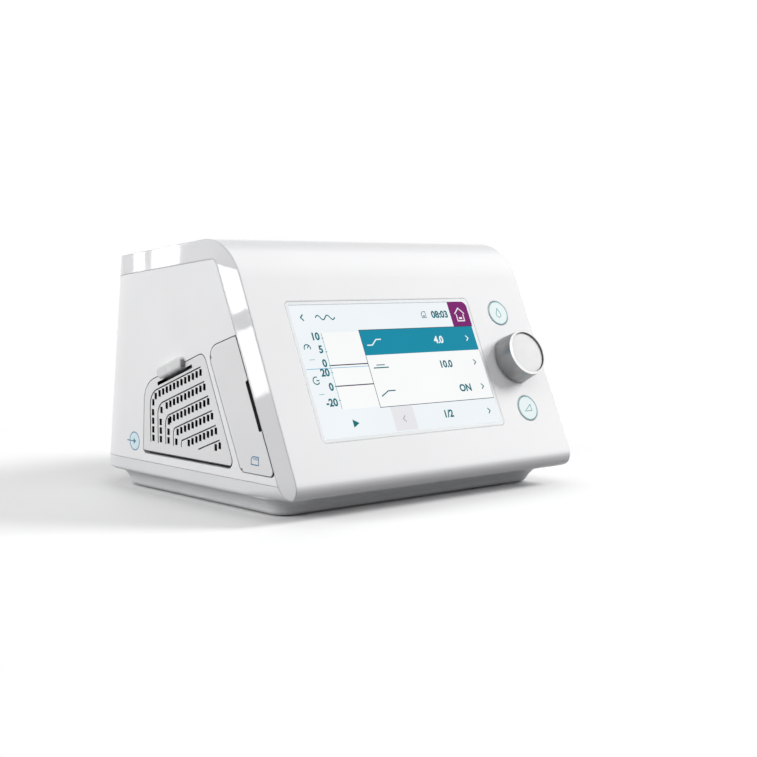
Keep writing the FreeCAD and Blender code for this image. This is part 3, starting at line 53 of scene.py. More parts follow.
def addNode(tree, kind, inputs=None, **settings):
    # one node, its settings, and its inputs, by name or number, as values or links (a Mix node's colours are
    # inputs 6 and 7 and output 2)
    node = tree.nodes.new(kind)
    for name, value in settings.items():
        setattr(node, name, value)
    for name, value in (inputs or {}).items():
        if isinstance(value, bpy.types.NodeSocket):
            tree.links.new(value, node.inputs[name])
        else:
            node.inputs[name].default_value = value
    return node


def blankMaterial(name):
    material = bpy.data.materials.new(name)
    material.use_nodes = True
    material.node_tree.nodes.clear()
    return material


def insideShade(tree, place, tint, look):
    # painted shade on a door: black from a little below its face and on through the slots, gaps and grooves,
    # where shade falls
    along = addNode(tree, "ShaderNodeSeparateXYZ", {"Vector": place})
    skin = look["face"] + look["skin"]
    depth = addNode(tree, "ShaderNodeMapRange", {"Value": along.outputs["X"], "From Min": skin * mm,
                                                 "From Max": (skin + look["blend"]) * mm})
    return addNode(tree, "ShaderNodeMix", {0: depth.outputs["Result"], 6: tint, 7: fromHex(look["inside"])},
                   data_type="RGBA").outputs[2]


# the ways that the case's faces point
ways = {"fascia": (0, -0.913, 0.408), "lip": (0, -0.8, -0.6), "roof": (0, 0, 1), "right": (1, 0, 0),
        "left": (-1, 0, 0), "front": (0, -1, 0), "back": (0, 1, 0), "tabTop": (0, 0.32, 0.95)}


def paintFacingLight(tree, tint, look):
    # faces that point one way are painted lighter or darker, standing in for the light and shade on them, as
    # (way, none at, all at, colour): 1 is right along the way, and a tone that is all there at the smaller
    # number lies on the faces turned away from it
    facing = addNode(tree, "ShaderNodeTexCoord").outputs["Normal"]
    for way, begins, ends, colour in look["paintedFacings"]:
        turn = addNode(tree, "ShaderNodeVectorMath", {0: facing, 1: ways[way]}, operation="DOT_PRODUCT")
        share = addNode(tree, "ShaderNodeMapRange", {"Value": turn.outputs["Value"], "From Min": begins,
                                                     "From Max": ends})
        tint = addNode(tree, "ShaderNodeMix", {0: share.outputs["Result"], 6: tint, 7: fromHex(colour)},
                       data_type="RGBA").outputs[2]
    return tint


# what all the looks share: the noises' detail, the part of the drift that the tint and the gloss follow, how
# far an edge has turned where its own colour is full (rubbed wear on some looks, painted shade or highlight on
# others), and its rounding (mm) and that colour's share where a look names none
shared = {"grainDetail": 3.0, "driftDetail": 2.0, "tintSpan": (0.35, 0.65), "glossSpan": (0.3, 0.7),
          "turned": 0.8, "ease": 0.25, "wearAndPaintedLight": 0.25}


def moulded(name, look):
    # a moulded, printed or turned surface: fine grain in the bump, slow drift in gloss and tint, edges in a
    # colour of their own (rubbed wear on most looks, a painted dark line or highlight on some), and painted
    # shade or light where a look asks
    material = blankMaterial(name)
    tree = material.node_tree
    place = addNode(tree, "ShaderNodeTexCoord").outputs["Object"]
    grain = addNode(tree, "ShaderNodeTexNoise", {"Vector": place, "Scale": 1 / (look["grain"] * mm),
                                                 "Detail": shared["grainDetail"]})
    drift = addNode(tree, "ShaderNodeTexNoise", {"Vector": place, "Scale": 1 / (look["drift"] * mm),
                                                 "Detail": shared["driftDetail"]})
    patches = addNode(tree, "ShaderNodeValToRGB", {"Fac": drift.outputs["Fac"]})
    stops = zip(patches.color_ramp.elements, shared["tintSpan"], (look["shade"], look["colour"]))
    for stop, share, colour in stops:
        stop.position = share
        stop.color = fromHex(colour)
    least, most = shared["glossSpan"]
    gloss = addNode(tree, "ShaderNodeMapRange", {"Value": drift.outputs["Fac"], "From Min": least,
                                                 "From Max": most, "To Min": look["rough"][0],
                                                 "To Max": look["rough"][1]})
    eased = addNode(tree, "ShaderNodeBevel", {"Radius": look.get("ease", shared["ease"]) * mm}, samples=4)
    flat = addNode(tree, "ShaderNodeNewGeometry").outputs["Normal"]
    turn = addNode(tree, "ShaderNodeVectorMath", {0: eased.outputs["Normal"], 1: flat},
                   operation="DOT_PRODUCT")
    # the edges' own colour: rubbed wear on most looks, a painted dark shade line on the polished case, a
    # painted highlight on the knob's sleeve
    wearAndPaintedLight = addNode(tree, "ShaderNodeMapRange", {"Value": turn.outputs["Value"], "From Min": 1.0,
                                                "From Max": shared["turned"], "To Min": 0.0,
                                                "To Max": look.get("wearAndPaintedLight", shared["wearAndPaintedLight"])})
    tint = addNode(tree, "ShaderNodeMix", {0: wearAndPaintedLight.outputs["Result"], 6: patches.outputs["Color"],
                                           7: fromHex(look.get("edgeWearAndPaintedLight", look["colour"]))},
                   data_type="RGBA").outputs[2]
    rubbed = addNode(tree, "ShaderNodeMath", {0: gloss.outputs["Result"], 1: wearAndPaintedLight.outputs["Result"]},
                     operation="SUBTRACT", use_clamp=True)
    # painted shade in the doors' slots, gaps and grooves
    if "inside" in look:
        tint = insideShade(tree, place, tint, look)
    # painted light and shade by the way each face points
    if "paintedFacings" in look:
        tint = paintFacingLight(tree, tint, look)
    bump = addNode(tree, "ShaderNodeBump", {"Height": grain.outputs["Fac"], "Strength": look["bump"],
                                            "Distance": look["relief"] * mm,
                                            "Normal": eased.outputs["Normal"]})
    shader = addNode(tree, "ShaderNodeBsdfPrincipled", {"Base Color": tint,
                                                        "Roughness": rubbed.outputs["Value"],
                                                        "Normal": bump.outputs["Normal"],
                                                        "Metallic": look.get("metal", 0.0)})
    if "ior" in look:
        shader.inputs["IOR"].default_value = look["ior"]
    addNode(tree, "ShaderNodeOutputMaterial", {"Surface": shader.outputs["BSDF"]})
    return material


# grain, drift, relief, ease, face, skin and blend in mm; a moulding's texture is drawn coarser than the real
# tenth of a millimetre, so that it shows
looks = {
    # polished injection-moulded ABS: near mirror, with the faint waviness of a large moulding; painted shade
    # makes its lip, roof and narrow slopes darker than the fascia and lays a dark line along its edges
    "glossAbs": {"colour": "#F5F5F6", "shade": "#F2F2F3", "grain": 14, "drift": 60, "rough": (0.02, 0.04),
                 "bump": 0.01, "relief": 0.05, "ior": 1.53, "edgeWearAndPaintedLight": "#7C7C7E", "wearAndPaintedLight": 0.42, "ease": 1.2,
                 "paintedFacings": [("fascia", 0.985, 0.6, "#DCDCDE"), ("right", 0.55, 0.8, "#DEDEE0"),
                            ("left", 0.55, 0.8, "#DEDEE0"), ("roof", 0.8, 0.96, "#D0D0D2"),
                            ("lip", 0.62, 0.9, "#C6C6C8")]},
    # spark-eroded ABS: fine texture, soft highlights
    "satinAbs": {"colour": "#F4F4F5", "shade": "#F1F1F2", "grain": 0.5, "drift": 40, "rough": (0.36, 0.44),
                 "bump": 0.08, "relief": 0.02, "ior": 1.53, "wearAndPaintedLight": 0.1},
    # the doors' ABS, with painted shade: black from just below the face, so the slots, gaps and grooves read as
    # dark
    "doorAbs": {"colour": "#E9E9EA", "shade": "#E6E6E7", "grain": 0.5, "drift": 40, "rough": (0.36, 0.44),
                "bump": 0.08, "relief": 0.02, "ior": 1.53, "wearAndPaintedLight": 0.1,
                "face": sideFace, "skin": 0.06, "blend": 0.06, "inside": "#0B0B0C"},
    # finely spark-eroded ABS: a tighter highlight than the panel, with painted shade on the tab's ends and a
    # painted highlight on its top
    "latchAbs": {"colour": "#DEDEDF", "shade": "#DADADB", "grain": 0.5, "drift": 20, "rough": (0.22, 0.3),
                 "bump": 0.05, "relief": 0.02, "ior": 1.53, "wearAndPaintedLight": 0.1,
                 "paintedFacings": [("back", 0.6, 0.9, "#7C7C7E"), ("front", 0.6, 0.9, "#7C7C7E"),
                            ("tabTop", 0.7, 0.95, "#F2F2F3")]},
    # spark-eroded ABS of the base: the panels' soft sheen, a shade darker, with painted light on its front
    "lowerAbs": {"colour": "#E6E7E8", "shade": "#E3E4E5", "grain": 0.5, "drift": 40, "rough": (0.36, 0.46),
                 "bump": 0.08, "relief": 0.02, "ior": 1.53, "wearAndPaintedLight": 0.1,
                 "paintedFacings": [("front", 0.8, 0.97, "#F6F7F8")]},
    # black moulded ABS: deep and matt, a little paler where edges are rubbed
    "blackAbs": {"colour": "#141416", "shade": "#101012", "grain": 0.4, "drift": 12, "rough": (0.5, 0.6),
                 "bump": 0.2, "relief": 0.03, "ior": 1.53, "edgeWearAndPaintedLight": "#2A2A2C"},
    # grey moulded ABS of the inner parts: matt and slightly patchy
    "greyAbs": {"colour": "#8E9093", "shade": "#85878A", "grain": 0.5, "drift": 18, "rough": (0.45, 0.55),
                "bump": 0.15, "relief": 0.03, "ior": 1.53, "edgeWearAndPaintedLight": "#A4A6A9"},
    # moulded rubber: dull charcoal, hardly a highlight
    "footRubber": {"colour": "#4A4B4D", "shade": "#434446", "grain": 0.35, "drift": 9, "rough": (0.75, 0.85),
                   "bump": 0.3, "relief": 0.04, "ior": 1.52, "edgeWearAndPaintedLight": "#5C5D5F"},
    # moulded silicone: milky, with a soft broad highlight
    "silicone": {"colour": "#D4D6D8", "shade": "#CBCDD0", "grain": 0.4, "drift": 14, "rough": (0.5, 0.6),
                 "bump": 0.1, "relief": 0.02, "ior": 1.41},
    # solder mask printed on a glass-fibre board: deep green, half gloss, very slightly uneven
    "solderMask": {"colour": "#14583A", "shade": "#114D32", "grain": 0.8, "drift": 10, "rough": (0.3, 0.38),
                   "bump": 0.1, "relief": 0.02, "ior": 1.5, "edgeWearAndPaintedLight": "#8C8250"},
    # zinc-plated steel: cool grey, with a shine that comes and goes
    "zincSteel": {"colour": "#A9ABAE", "shade": "#989A9D", "grain": 0.25, "drift": 5, "rough": (0.28, 0.42),
                  "bump": 0.1, "relief": 0.01, "metal": 1.0, "edgeWearAndPaintedLight": "#C0C2C4"},
    # moulded polycarbonate: a hint of mint and a small bright highlight
    "keyPolycarbonate": {"colour": "#F1F6F5", "shade": "#EEF4F3", "grain": 0.4, "drift": 8,
                         "rough": (0.2, 0.26), "bump": 0.05, "relief": 0.01, "ior": 1.585, "ease": 0.15},
    # cover glass printed white from behind: smooth and pale under a clear sheen
    "lensGlass": {"colour": "#F2F4F5", "shade": "#EFF2F3", "grain": 30, "drift": 60, "rough": (0.05, 0.07),
                  "bump": 0.01, "relief": 0.02, "ior": 1.52, "ease": 0.15},
    # bead-blasted, anodised aluminium: soft metallic gradient, with a painted highlight on its rim and on its
    # face towards the front
    "anodisedSleeve": {"colour": "#9A9A9B", "shade": "#8C8C8D", "grain": 0.3, "drift": 6,
                       "rough": (0.34, 0.42), "bump": 0.1, "relief": 0.02, "metal": 1.0, "edgeWearAndPaintedLight": "#F2F2F2",
                       "wearAndPaintedLight": 0.6, "ease": 0.5, "paintedFacings": [("fascia", 0.45, 0.65, "#F4F4F4")]},
    # spark-eroded ABS: an even, pale, finely grained disc
    "capAbs": {"colour": "#EEEEEE", "shade": "#EAEAEA", "grain": 0.5, "drift": 5, "rough": (0.36, 0.44),
               "bump": 0.12, "relief": 0.02, "ior": 1.53},
    # open-cell polyurethane foam: black pits and no shine
    "filterFoam": {"colour": "#2A2B2D", "shade": "#141416", "grain": 0.9, "drift": 2, "rough": (0.85, 0.95),
                   "bump": 0.9, "relief": 0.5, "ior": 1.5, "wearAndPaintedLight": 0.0},
    # moulded card shell: dark blue, low sheen, paler rubbed edges
    "cardShell": {"colour": "#22304F", "shade": "#1E2A46", "grain": 0.4, "drift": 10, "rough": (0.4, 0.5),
                  "bump": 0.1, "relief": 0.02, "ior": 1.53, "edgeWearAndPaintedLight": "#3A4866"},
    # sintered iron: dark, dull metal with a fine grit
    "sinteredMagnet": {"colour": "#3C3C3E", "shade": "#303032", "grain": 0.3, "drift": 5, "rough": (0.5, 0.6),
                       "bump": 0.3, "relief": 0.03, "metal": 1.0, "edgeWearAndPaintedLight": "#5A5A5C"},
}
materials = {name: moulded(name, look) for name, look in looks.items()}

nodeFinish = {
    "glossAbs": ["front_shell"],
    "satinAbs": ["rear_shell"],
    "doorAbs": ["filter_door", "card_door"],
    "latchAbs": ["filter_latch"],
    "lowerAbs": ["lower_case"],
    "blackAbs": ["filter_tray", "card_bay", "board_parts", "key_switches", "dc_jack", "flow_sensor",
                 "lcd_panel"],
    "greyAbs": ["encoder_body", "muffler_box", "muffler_lid", "blower_lower", "blower_upper", "impeller",
                "motor_cap", "chassis", "outlet_port"],
    "footRubber": [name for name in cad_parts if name.startswith("rubber_foot")],
    "silicone": ["key_return_pad", "inlet_duct", "blower_grommets", "outlet_seal", "outlet_bellows",
                 "display_cable"],
    "solderMask": ["front_board", "main_board"],
    "zincSteel": ["display_bracket", "front_screws", "case_screws", "chassis_screws", "board_screws",
                  "encoder_plunger", "encoder_shaft", "filter_door_pins", "card_door_pins", "card_socket",
                  "motor_shaft", "bearing_lower", "bearing_upper"],
    "keyPolycarbonate": ["key_humidity", "key_ramp"],
    "lensGlass": ["touch_lens"],
    "anodisedSleeve": ["knob_body"],
    "capAbs": ["knob_cap"],
    "filterFoam": ["filter_foam", "muffler_foam"],
    "cardShell": ["memory_card"],
    "sinteredMagnet": ["stator", "rotor_magnet"],
}
for finish, names in nodeFinish.items():
    for name in names:
        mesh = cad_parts[name].data
        mesh.materials.clear()
        mesh.materials.append(materials[finish])
print("materials made:", len(materials))


# flat shapes, as loops of (across, up) in millimetres

def rectangle(left, low, right, high):
    return [(left, low), (right, low), (right, high), (left, high)]


def roundedCorner(left, low, right, high, radius, steps=6):
    # a rectangle whose upper right corner is round
    loop = [(left, low), (right, low)]
    for i in range(steps + 1):
        turn = math.pi / 2 * i / steps
        loop.append((right - radius + radius * math.cos(turn), high - radius + radius * math.sin(turn)))
    return loop + [(left, high)]


def arc(middle, radius, start, end, steps):
    # points on a circle from one turn to another, in degrees
    turns = [math.radians(start + (end - start) * i / steps) for i in range(steps + 1)]
    return [(middle[0] + radius * math.cos(t), middle[1] + radius * math.sin(t)) for t in turns]


sharpestMitre = 0.4      # a corner's point reaches no farther than the half width over this


def stroke(points, width, closed=False):
    # a line of even width with mitred corners, as one quad for each run
    count = len(points)
    half = width / 2
    sides = []
    for i, here in enumerate(points):
        before = points[i - 1] if closed or i else None
        after = points[(i + 1) % count] if closed or i < count - 1 else None
        runs = [Vector(b) - Vector(a) for a, b in ((before, here), (here, after)) if a and b]
        normals = [Vector((-run.y, run.x)).normalized() for run in runs]
        mitre = (normals[0] + normals[-1]).normalized()
        reach = half / max(mitre.dot(normals[0]), sharpestMitre)
        sides.append((Vector(here) + mitre * reach, Vector(here) - mitre * reach))
    last = count if closed else count - 1
    return [[tuple(sides[i][1]), tuple(sides[(i + 1) % count][1]), tuple(sides[(i + 1) % count][0]),
             tuple(sides[i][0])] for i in range(last)]


lettering = {"capShare": 0.72, "thicken": 0.05, "curveSteps": 4}      # capitals' share of the size, and weight


def letters(text, place, height, align="LEFT"):
    # numbers and plain words as filled loops, their left or right foot at the place
    data = bpy.data.curves.new("letters", "FONT")
    data.body = text
    data.size = height / lettering["capShare"]
    data.align_x = align
    data.offset = height * lettering["thicken"]
    data.resolution_u = lettering["curveSteps"]
    holder = bpy.data.objects.new("letters", data)
    bpy.context.scene.collection.objects.link(holder)
    shape = bpy.data.meshes.new_from_object(holder.evaluated_get(bpy.context.evaluated_depsgraph_get()))
    loops = [[(place[0] + shape.vertices[v].co.x, place[1] + shape.vertices[v].co.y) for v in face.vertices]
             for face in shape.polygons]
    bpy.data.objects.remove(holder)
    bpy.data.curves.remove(data)
    bpy.data.meshes.remove(shape)
    return loops


leastLoop = 1e-5      # a loop with less than this for twice its area, in mm2, is left out


def flatPiece(name, layers, lay, material, body):
    # coloured layers, each (loops, hex, lift), laid on a face and joined in one mesh with a colour attribute
    shape = bmesh.new()
    tint = shape.loops.layers.float_color.new("ink")
    for loops, colour, lift in layers:
        for loop in loops:
            area = sum(a[0] * b[1] - b[0] * a[1] for a, b in zip(loop, loop[1:] + loop[:1]))
            if abs(area) < leastLoop:
                continue
            ordered = loop if area > 0 else loop[::-1]
            face = shape.faces.new([shape.verts.new(lay(across, up, lift)) for across, up in ordered])
            for corner in face.loops:
                corner[tint] = fromHex(colour)
    mesh = bpy.data.meshes.new(name)
    shape.to_mesh(mesh)
    shape.free()
    mesh.materials.append(material)
    piece = bpy.data.objects.new(name, mesh)
    bpy.context.scene.collection.objects.link(piece)
    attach(piece, body)


# the fascia and the left side as drawing planes: slope in degrees, the lens's lower left corner in mm

faces = {"slope": 65.92, "foot": (-63.85, -64.807, 33.376), "side": sideFace}
slope = math.radians(faces["slope"])


def onFascia(across, up, lift):
    # from the lower left corner of the lens, seen from the front
    left, front, low = faces["foot"]
    return ((left + across) * mm, (front + up * math.cos(slope) - lift * math.sin(slope)) * mm,
            (low + up * math.sin(slope) + lift * math.cos(slope)) * mm)


def onSide(across, up, lift):
    # seen from the left, so across grows towards the front
    return ((faces["side"] - lift) * mm, -across * mm, up * mm)


# the knob's cap, set a little below the rim of its sleeve

capSet = {"across": 128.4, "up": 30.4, "low": 9.40, "radius": 10.2, "wall": 9.9, "face": 10.5, "crown": 0.06,
          "round": 0.5, "segments": 96, "roundSteps": 5, "crownSteps": 6}


def knobCap(given):
    # a turned profile, from the middle of the underside to the middle of the crowned face
    rim = given["radius"] - given["round"]
    profile = [(given["radius"], given["low"]), (given["radius"], given["wall"])]
    for i in range(1, given["roundSteps"] + 1):
        turn = math.pi / 2 * i / given["roundSteps"]
        profile.append((rim + given["round"] * math.cos(turn),
                        given["wall"] + (given["face"] - given["wall"]) * math.sin(turn)))
    for i in range(1, given["crownSteps"]):
        share = i / given["crownSteps"]
        profile.append((rim * (1 - share), given["face"] + given["crown"] * (1 - (1 - share) ** 2)))
    shape = bmesh.new()
    turns = [2 * math.pi * i / given["segments"] for i in range(given["segments"])]
    rings = []
    for radius, lift in profile:
        rings.append([shape.verts.new(onFascia(given["across"] + radius * math.cos(t),
                                               given["up"] + radius * math.sin(t), lift)) for t in turns])
    for below, above in zip(rings, rings[1:]):
        for i in range(given["segments"]):
            j = (i + 1) % given["segments"]
            shape.faces.new([below[i], below[j], above[j], above[i]])
    shape.faces.new(rings[0][::-1])
    shape.faces.new(rings[-1])
    bmesh.ops.recalc_face_normals(shape, faces=shape.faces)
    mesh = bpy.data.meshes.new("cap_disc")
    shape.to_mesh(mesh)
    shape.free()
    for face in mesh.polygons:
        face.use_smooth = len(face.vertices) == 4
    mesh.materials.append(materials["capAbs"])
    piece = bpy.data.objects.new("cap_disc", mesh)
    bpy.context.scene.collection.objects.link(piece)
    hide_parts("knob_cap")
    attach(piece, "knob")


knobCap(capSet)
print("knob cap turned")


# the lit picture behind the touch lens

# cells, the size of the panel's own pixels, and drift in mm; the light's least and most share of full
# white, and what the cells take from it
crystal = {"cell": 0.14, "drift": 35, "light": (0.93, 0.99), "grid": 0.02, "rough": 0.08, "ior": 1.52,
           "gloss": 0.12}


def litCrystal(given):
    # the panel's own light through its colour filters, with a fine grid of cells under a glossy cover
    material = blankMaterial("litCrystal")
    tree = material.node_tree
    place = addNode(tree, "ShaderNodeTexCoord").outputs["Object"]
    ink = addNode(tree, "ShaderNodeAttribute", attribute_name="ink").outputs["Color"]
    cells = addNode(tree, "ShaderNodeTexChecker", {"Vector": place, "Scale": 1 / (given["cell"] * mm)})
    drift = addNode(tree, "ShaderNodeTexNoise", {"Vector": place, "Scale": 1 / (given["drift"] * mm)})
    dim = addNode(tree, "ShaderNodeMath", {0: cells.outputs["Fac"], 1: given["grid"]}, operation="MULTIPLY")
    least, most = given["light"]
    glow = addNode(tree, "ShaderNodeMapRange", {"Value": drift.outputs["Fac"], "To Min": least,
                                                "To Max": most})
    level = addNode(tree, "ShaderNodeMath", {0: glow.outputs["Result"], 1: dim.outputs["Value"]},
                    operation="SUBTRACT")
    shader = addNode(tree, "ShaderNodeBsdfPrincipled", {"Base Color": (0, 0, 0, 1),
                                                        "Roughness": given["rough"], "IOR": given["ior"],
                                                        "Specular IOR Level": given["gloss"],
                                                        "Emission Color": ink,
                                                        "Emission Strength": level.outputs["Value"]})
    addNode(tree, "ShaderNodeOutputMaterial", {"Surface": shader.outputs["BSDF"]})
    return material


materials["litCrystal"] = litCrystal(crystal)

# across and up in mm from the picture's lower left corner
picture = {
    "width": 108.0, "height": 62.0, "head": 49.2, "foot": 12.2, "homeLeft": 95.6, "corner": 3.0,
    "graphLeft": 13.6, "labelRight": 12.6, "popup": 35.8, "rows": (12.2, 24.6, 36.9, 49.1), "inset": 0.5,
    "text": 3.5, "line": 0.55, "gaugeLine": 0.5, "thin": 0.3, "arrow": 1.35, "headArrow": 1.5,
    "pale": "#F3F9FC", "white": "#FDFEFE", "teal": "#008CA8", "onTeal": "#F4FCFD", "ink": "#0F6E7A",
    "box": "#ECEBEF", "faint": "#B9BCCB", "home": "#7D1C6E", "onHome": "#F6ECF5", "trace": "#3B2C4E",
    "edge": "#2B4656", "rim": "#B4BEC6", "axis": "#5FA5AE", "divide": "#6FB9DC", "dash": "#9CC3CC",
}

# how far each kind of mark stands off the panel, in mm
lifts = {"ground": 0.02, "sheet": 0.03, "bar": 0.04, "line": 0.05, "ink": 0.06, "onBar": 0.07}

# the numbers beside the two graphs, as (number, its foot)
graphLabels = [("10", 45.3), ("5", 39.2), ("0", 32.7), ("20", 28.4), ("0", 21.7), ("-20", 14.6)]

# the rows from the top, as (value, where it ends, the chevron's middle, ink, lift, the mark's lines and widths)
rowSet = [
    ("4.0", 86.0, 101.9, "onTeal", "onBar",
     [([(38.4, -1.3), (41.4, -1.3), (44.4, 1.3), (47.4, 1.3)], 0.55)]),
    ("10.0", 87.2, 102.2, "ink", "ink",
     [([(38.4, 0), (47.4, 0)], 0.55), ([(40.4, 1.3), (45.4, 1.3)], 0.45)]),
    ("ON", 95.0, 102.5, "ink", "ink",
     [([(38.4, -1.2), (43.0, 1.2), (47.4, 1.2)], 0.55)]),
]


def chevron(middle, size, facing):
    # an arrowhead that points right for 1 and left for -1
    x, y = middle
    back, tip = x - facing * size * 0.5, x + facing * size * 0.5
    return stroke([(back, y + size), (tip, y), (back, y - size)], size * 0.42)


def drop(middle, size, width):
    # a water drop's outline: a round belly and a point above it
    x, y = middle
    belly = arc((x, y - size * 0.25), size * 0.62, -215, 35, 20)
    return stroke([(x, y + size)] + belly[::-1], width, True)


def headMarks(given):
    # a chevron, the mode mark as a wave, the time and a memory card
    wave = [(13.2 + i * 0.5, 55.7 + 1.1 * math.sin(i * math.pi / 5.5)) for i in range(23)]
    card = stroke([(76.9, 54.2), (79.5, 54.2), (79.5, 57.2), (77.9, 57.2), (76.9, 56.2)], 0.35, True)
    return (chevron((5.8, 55.9), given["headArrow"], -1) + stroke(wave, given["line"])
            + letters("08:03", (94.0, 54.0), given["text"], "RIGHT") + card
            + [rectangle(77.5, 54.7, 78.9, 55.3)])


def pictureLayers(given):
    wide, high, left, text = given["width"], given["height"], given["popup"], given["text"]
    low, _, tealFoot, top = given["rows"]
    right, graph = wide - given["inset"], given["graphLeft"]
    layers = []

    def put(loops, colour, lift="ink"):
        layers.append((loops, given[colour], lifts[lift]))

    put([rectangle(0, 0, wide, high)], "pale", "ground")
    put([rectangle(graph, 12.6, left, 48.6)], "white", "sheet")
    put([rectangle(left, low, right, tealFoot)], "white", "sheet")
    put([rectangle(left, tealFoot, right, top)], "teal", "bar")
    put(stroke([(right, top), (left, top), (left, low), (right, low)], given["thin"]), "edge")
    put(stroke([(wide - 0.3, low), (wide - 0.3, tealFoot)], given["thin"])
        + stroke([(0, high - 0.1), (given["homeLeft"], high - 0.1)], given["thin"]), "rim", "line")
    put([roundedCorner(given["homeLeft"], given["head"], wide, high, given["corner"])], "home", "bar")
    house = stroke([(98.6, 55.6), (101.8, 58.6), (105.0, 55.6)], 0.6)
    house += stroke([(99.6, 55.4), (99.6, 52.0), (104.0, 52.0), (104.0, 55.4)], 0.6)
    put(house + [rectangle(100.8, 52.9, 102.8, 53.9)], "onHome")
    put(headMarks(given), "ink")

    # the two graphs: numbers, the upright axis, the line between them, the traces, and a gauge and a fan
    for number, foot in graphLabels:
        put(letters(number, (given["labelRight"], foot), text, "RIGHT"), "ink")
    put(stroke([(14.0, 48.4), (14.0, 12.8)], 0.28), "axis", "line")
    put(stroke([(0.6, 31.9), (left, 31.9)], given["thin"]), "divide", "line")
    for up in (33.1, 23.4):
        put(stroke([(graph, up), (left, up)], given["gaugeLine"]), "trace")
    for middle, start, end, steps, tip in (((4.2, 41.6), 200, -20, 14, (5.2, 42.9)),
                                           ((4.2, 26.6), 60, 330, 16, (5.9, 26.6))):
        put(stroke(arc(middle, 1.7, start, end, steps), given["gaugeLine"])
            + stroke([middle, tip], given["gaugeLine"]), "ink")
    for up in (36.2, 20.2):
        put(stroke([(3.6, up), (6.6, up)], 0.35), "dash")

    # the three rows: a value, a chevron, and a mark
    borders = given["rows"][::-1]
    for (value, end, tip, colour, lift, lines), over, under in zip(rowSet, borders, borders[1:]):
        middle = (over + under) / 2
        loops = letters(value, (end, middle - text / 2), text, "RIGHT")
        loops += chevron((tip, middle), given["arrow"], 1)
        for points, width in lines:
            loops += stroke([(x, middle + y) for x, y in points], width)
        put(loops, colour, lift)

    # the foot: the box for the page before, a start mark, and the page number
    put([rectangle(41.3, 0.6, 54.5, given["foot"] - 0.4)], "box", "sheet")
    put(chevron((47.9, 6.0), given["headArrow"], -1), "faint")
    put([[(17.9, 4.1), (21.4, 6.0), (17.9, 7.9)]], "ink")
    put(letters("1/2", (72.2, 4.8), text) + chevron((101.9, 6.0), given["arrow"], 1), "ink")
    return layers


flatPiece("display_picture", pictureLayers(picture), onFascia, materials["litCrystal"], "case")

# in mm; the seed sets each bar's size, a little more or less than even
ticks = {"count": 3, "pitch": 6.45, "length": 1.3, "thick": 0.28, "uneven": (0.97, 1.03), "seed": 3,
         "places": ((14.0, 33.1), (14.0, 16.9))}


def tickTree():
    # a row of short bars, one for each step of an axis
    tree = bpy.data.node_groups.new("axisTicks", "GeometryNodeTree")
    for name, kind in (("Count", "NodeSocketInt"), ("Pitch", "NodeSocketFloat"), ("Length", "NodeSocketFloat"),
                       ("Thick", "NodeSocketFloat"), ("Seed", "NodeSocketInt"), ("Ink", "NodeSocketMaterial")):
        tree.interface.new_socket(name, in_out="INPUT", socket_type=kind)
    tree.interface.new_socket("Geometry", in_out="OUTPUT", socket_type="NodeSocketGeometry")
    given = addNode(tree, "NodeGroupInput")
    step = addNode(tree, "ShaderNodeCombineXYZ", {"Y": given.outputs["Pitch"]})
    row = addNode(tree, "GeometryNodeMeshLine", {"Count": given.outputs["Count"],
                                                 "Offset": step.outputs["Vector"]})
    bar = addNode(tree, "GeometryNodeMeshGrid", {"Size X": given.outputs["Length"],
                                                 "Size Y": given.outputs["Thick"],
                                                 "Vertices X": 2, "Vertices Y": 2})
    least, most = ticks["uneven"]
    uneven = addNode(tree, "FunctionNodeRandomValue", {2: least, 3: most, "Seed": given.outputs["Seed"]})
    copies = addNode(tree, "GeometryNodeInstanceOnPoints", {"Points": row.outputs["Mesh"],
                                                            "Instance": bar.outputs["Mesh"],
                                                            "Scale": uneven.outputs[1]})
    real = addNode(tree, "GeometryNodeRealizeInstances", {"Geometry": copies.outputs["Instances"]})
    inked = addNode(tree, "GeometryNodeSetMaterial", {"Geometry": real.outputs["Geometry"],
                                                      "Material": given.outputs["Ink"]})
    addNode(tree, "NodeGroupOutput", {"Geometry": inked.outputs["Geometry"]})
    return tree


def axisTicks(given):
    tree = tickTree()
    holder = bpy.data.objects.new("ticks", bpy.data.meshes.new("ticks"))
    bpy.context.scene.collection.objects.link(holder)
    modifier = holder.modifiers.new("ticks", "NODES")
    modifier.node_group = tree
    values = {"Count": given["count"], "Pitch": given["pitch"], "Length": given["length"],
              "Thick": given["thick"], "Seed": given["seed"], "Ink": materials["litCrystal"]}
    for item in tree.interface.items_tree:
        if item.name in values:
            modifier[item.identifier] = values[item.name]
    plain = bpy.data.meshes.new_from_object(holder.evaluated_get(bpy.context.evaluated_depsgraph_get()))
    loops = []
    for left, low in given["places"]:
        for face in plain.polygons:
            loops.append([(left + plain.vertices[v].co.x, low + plain.vertices[v].co.y) for v in face.vertices])
    bpy.data.objects.remove(holder)
    flatPiece("display_ticks", [(loops, picture["axis"], lifts["onBar"])], onFascia, materials["litCrystal"],
              "case")


axisTicks(ticks)
print("display picture laid")


# marks printed on the keys and the left side

# grain and relief in mm; how much of the white below shows through at most
inkSet = {"grain": 0.5, "relief": 0.01, "bump": 0.1, "through": 0.12, "below": "#F0F0F1", "rough": 0.42,
          "ior": 1.5}


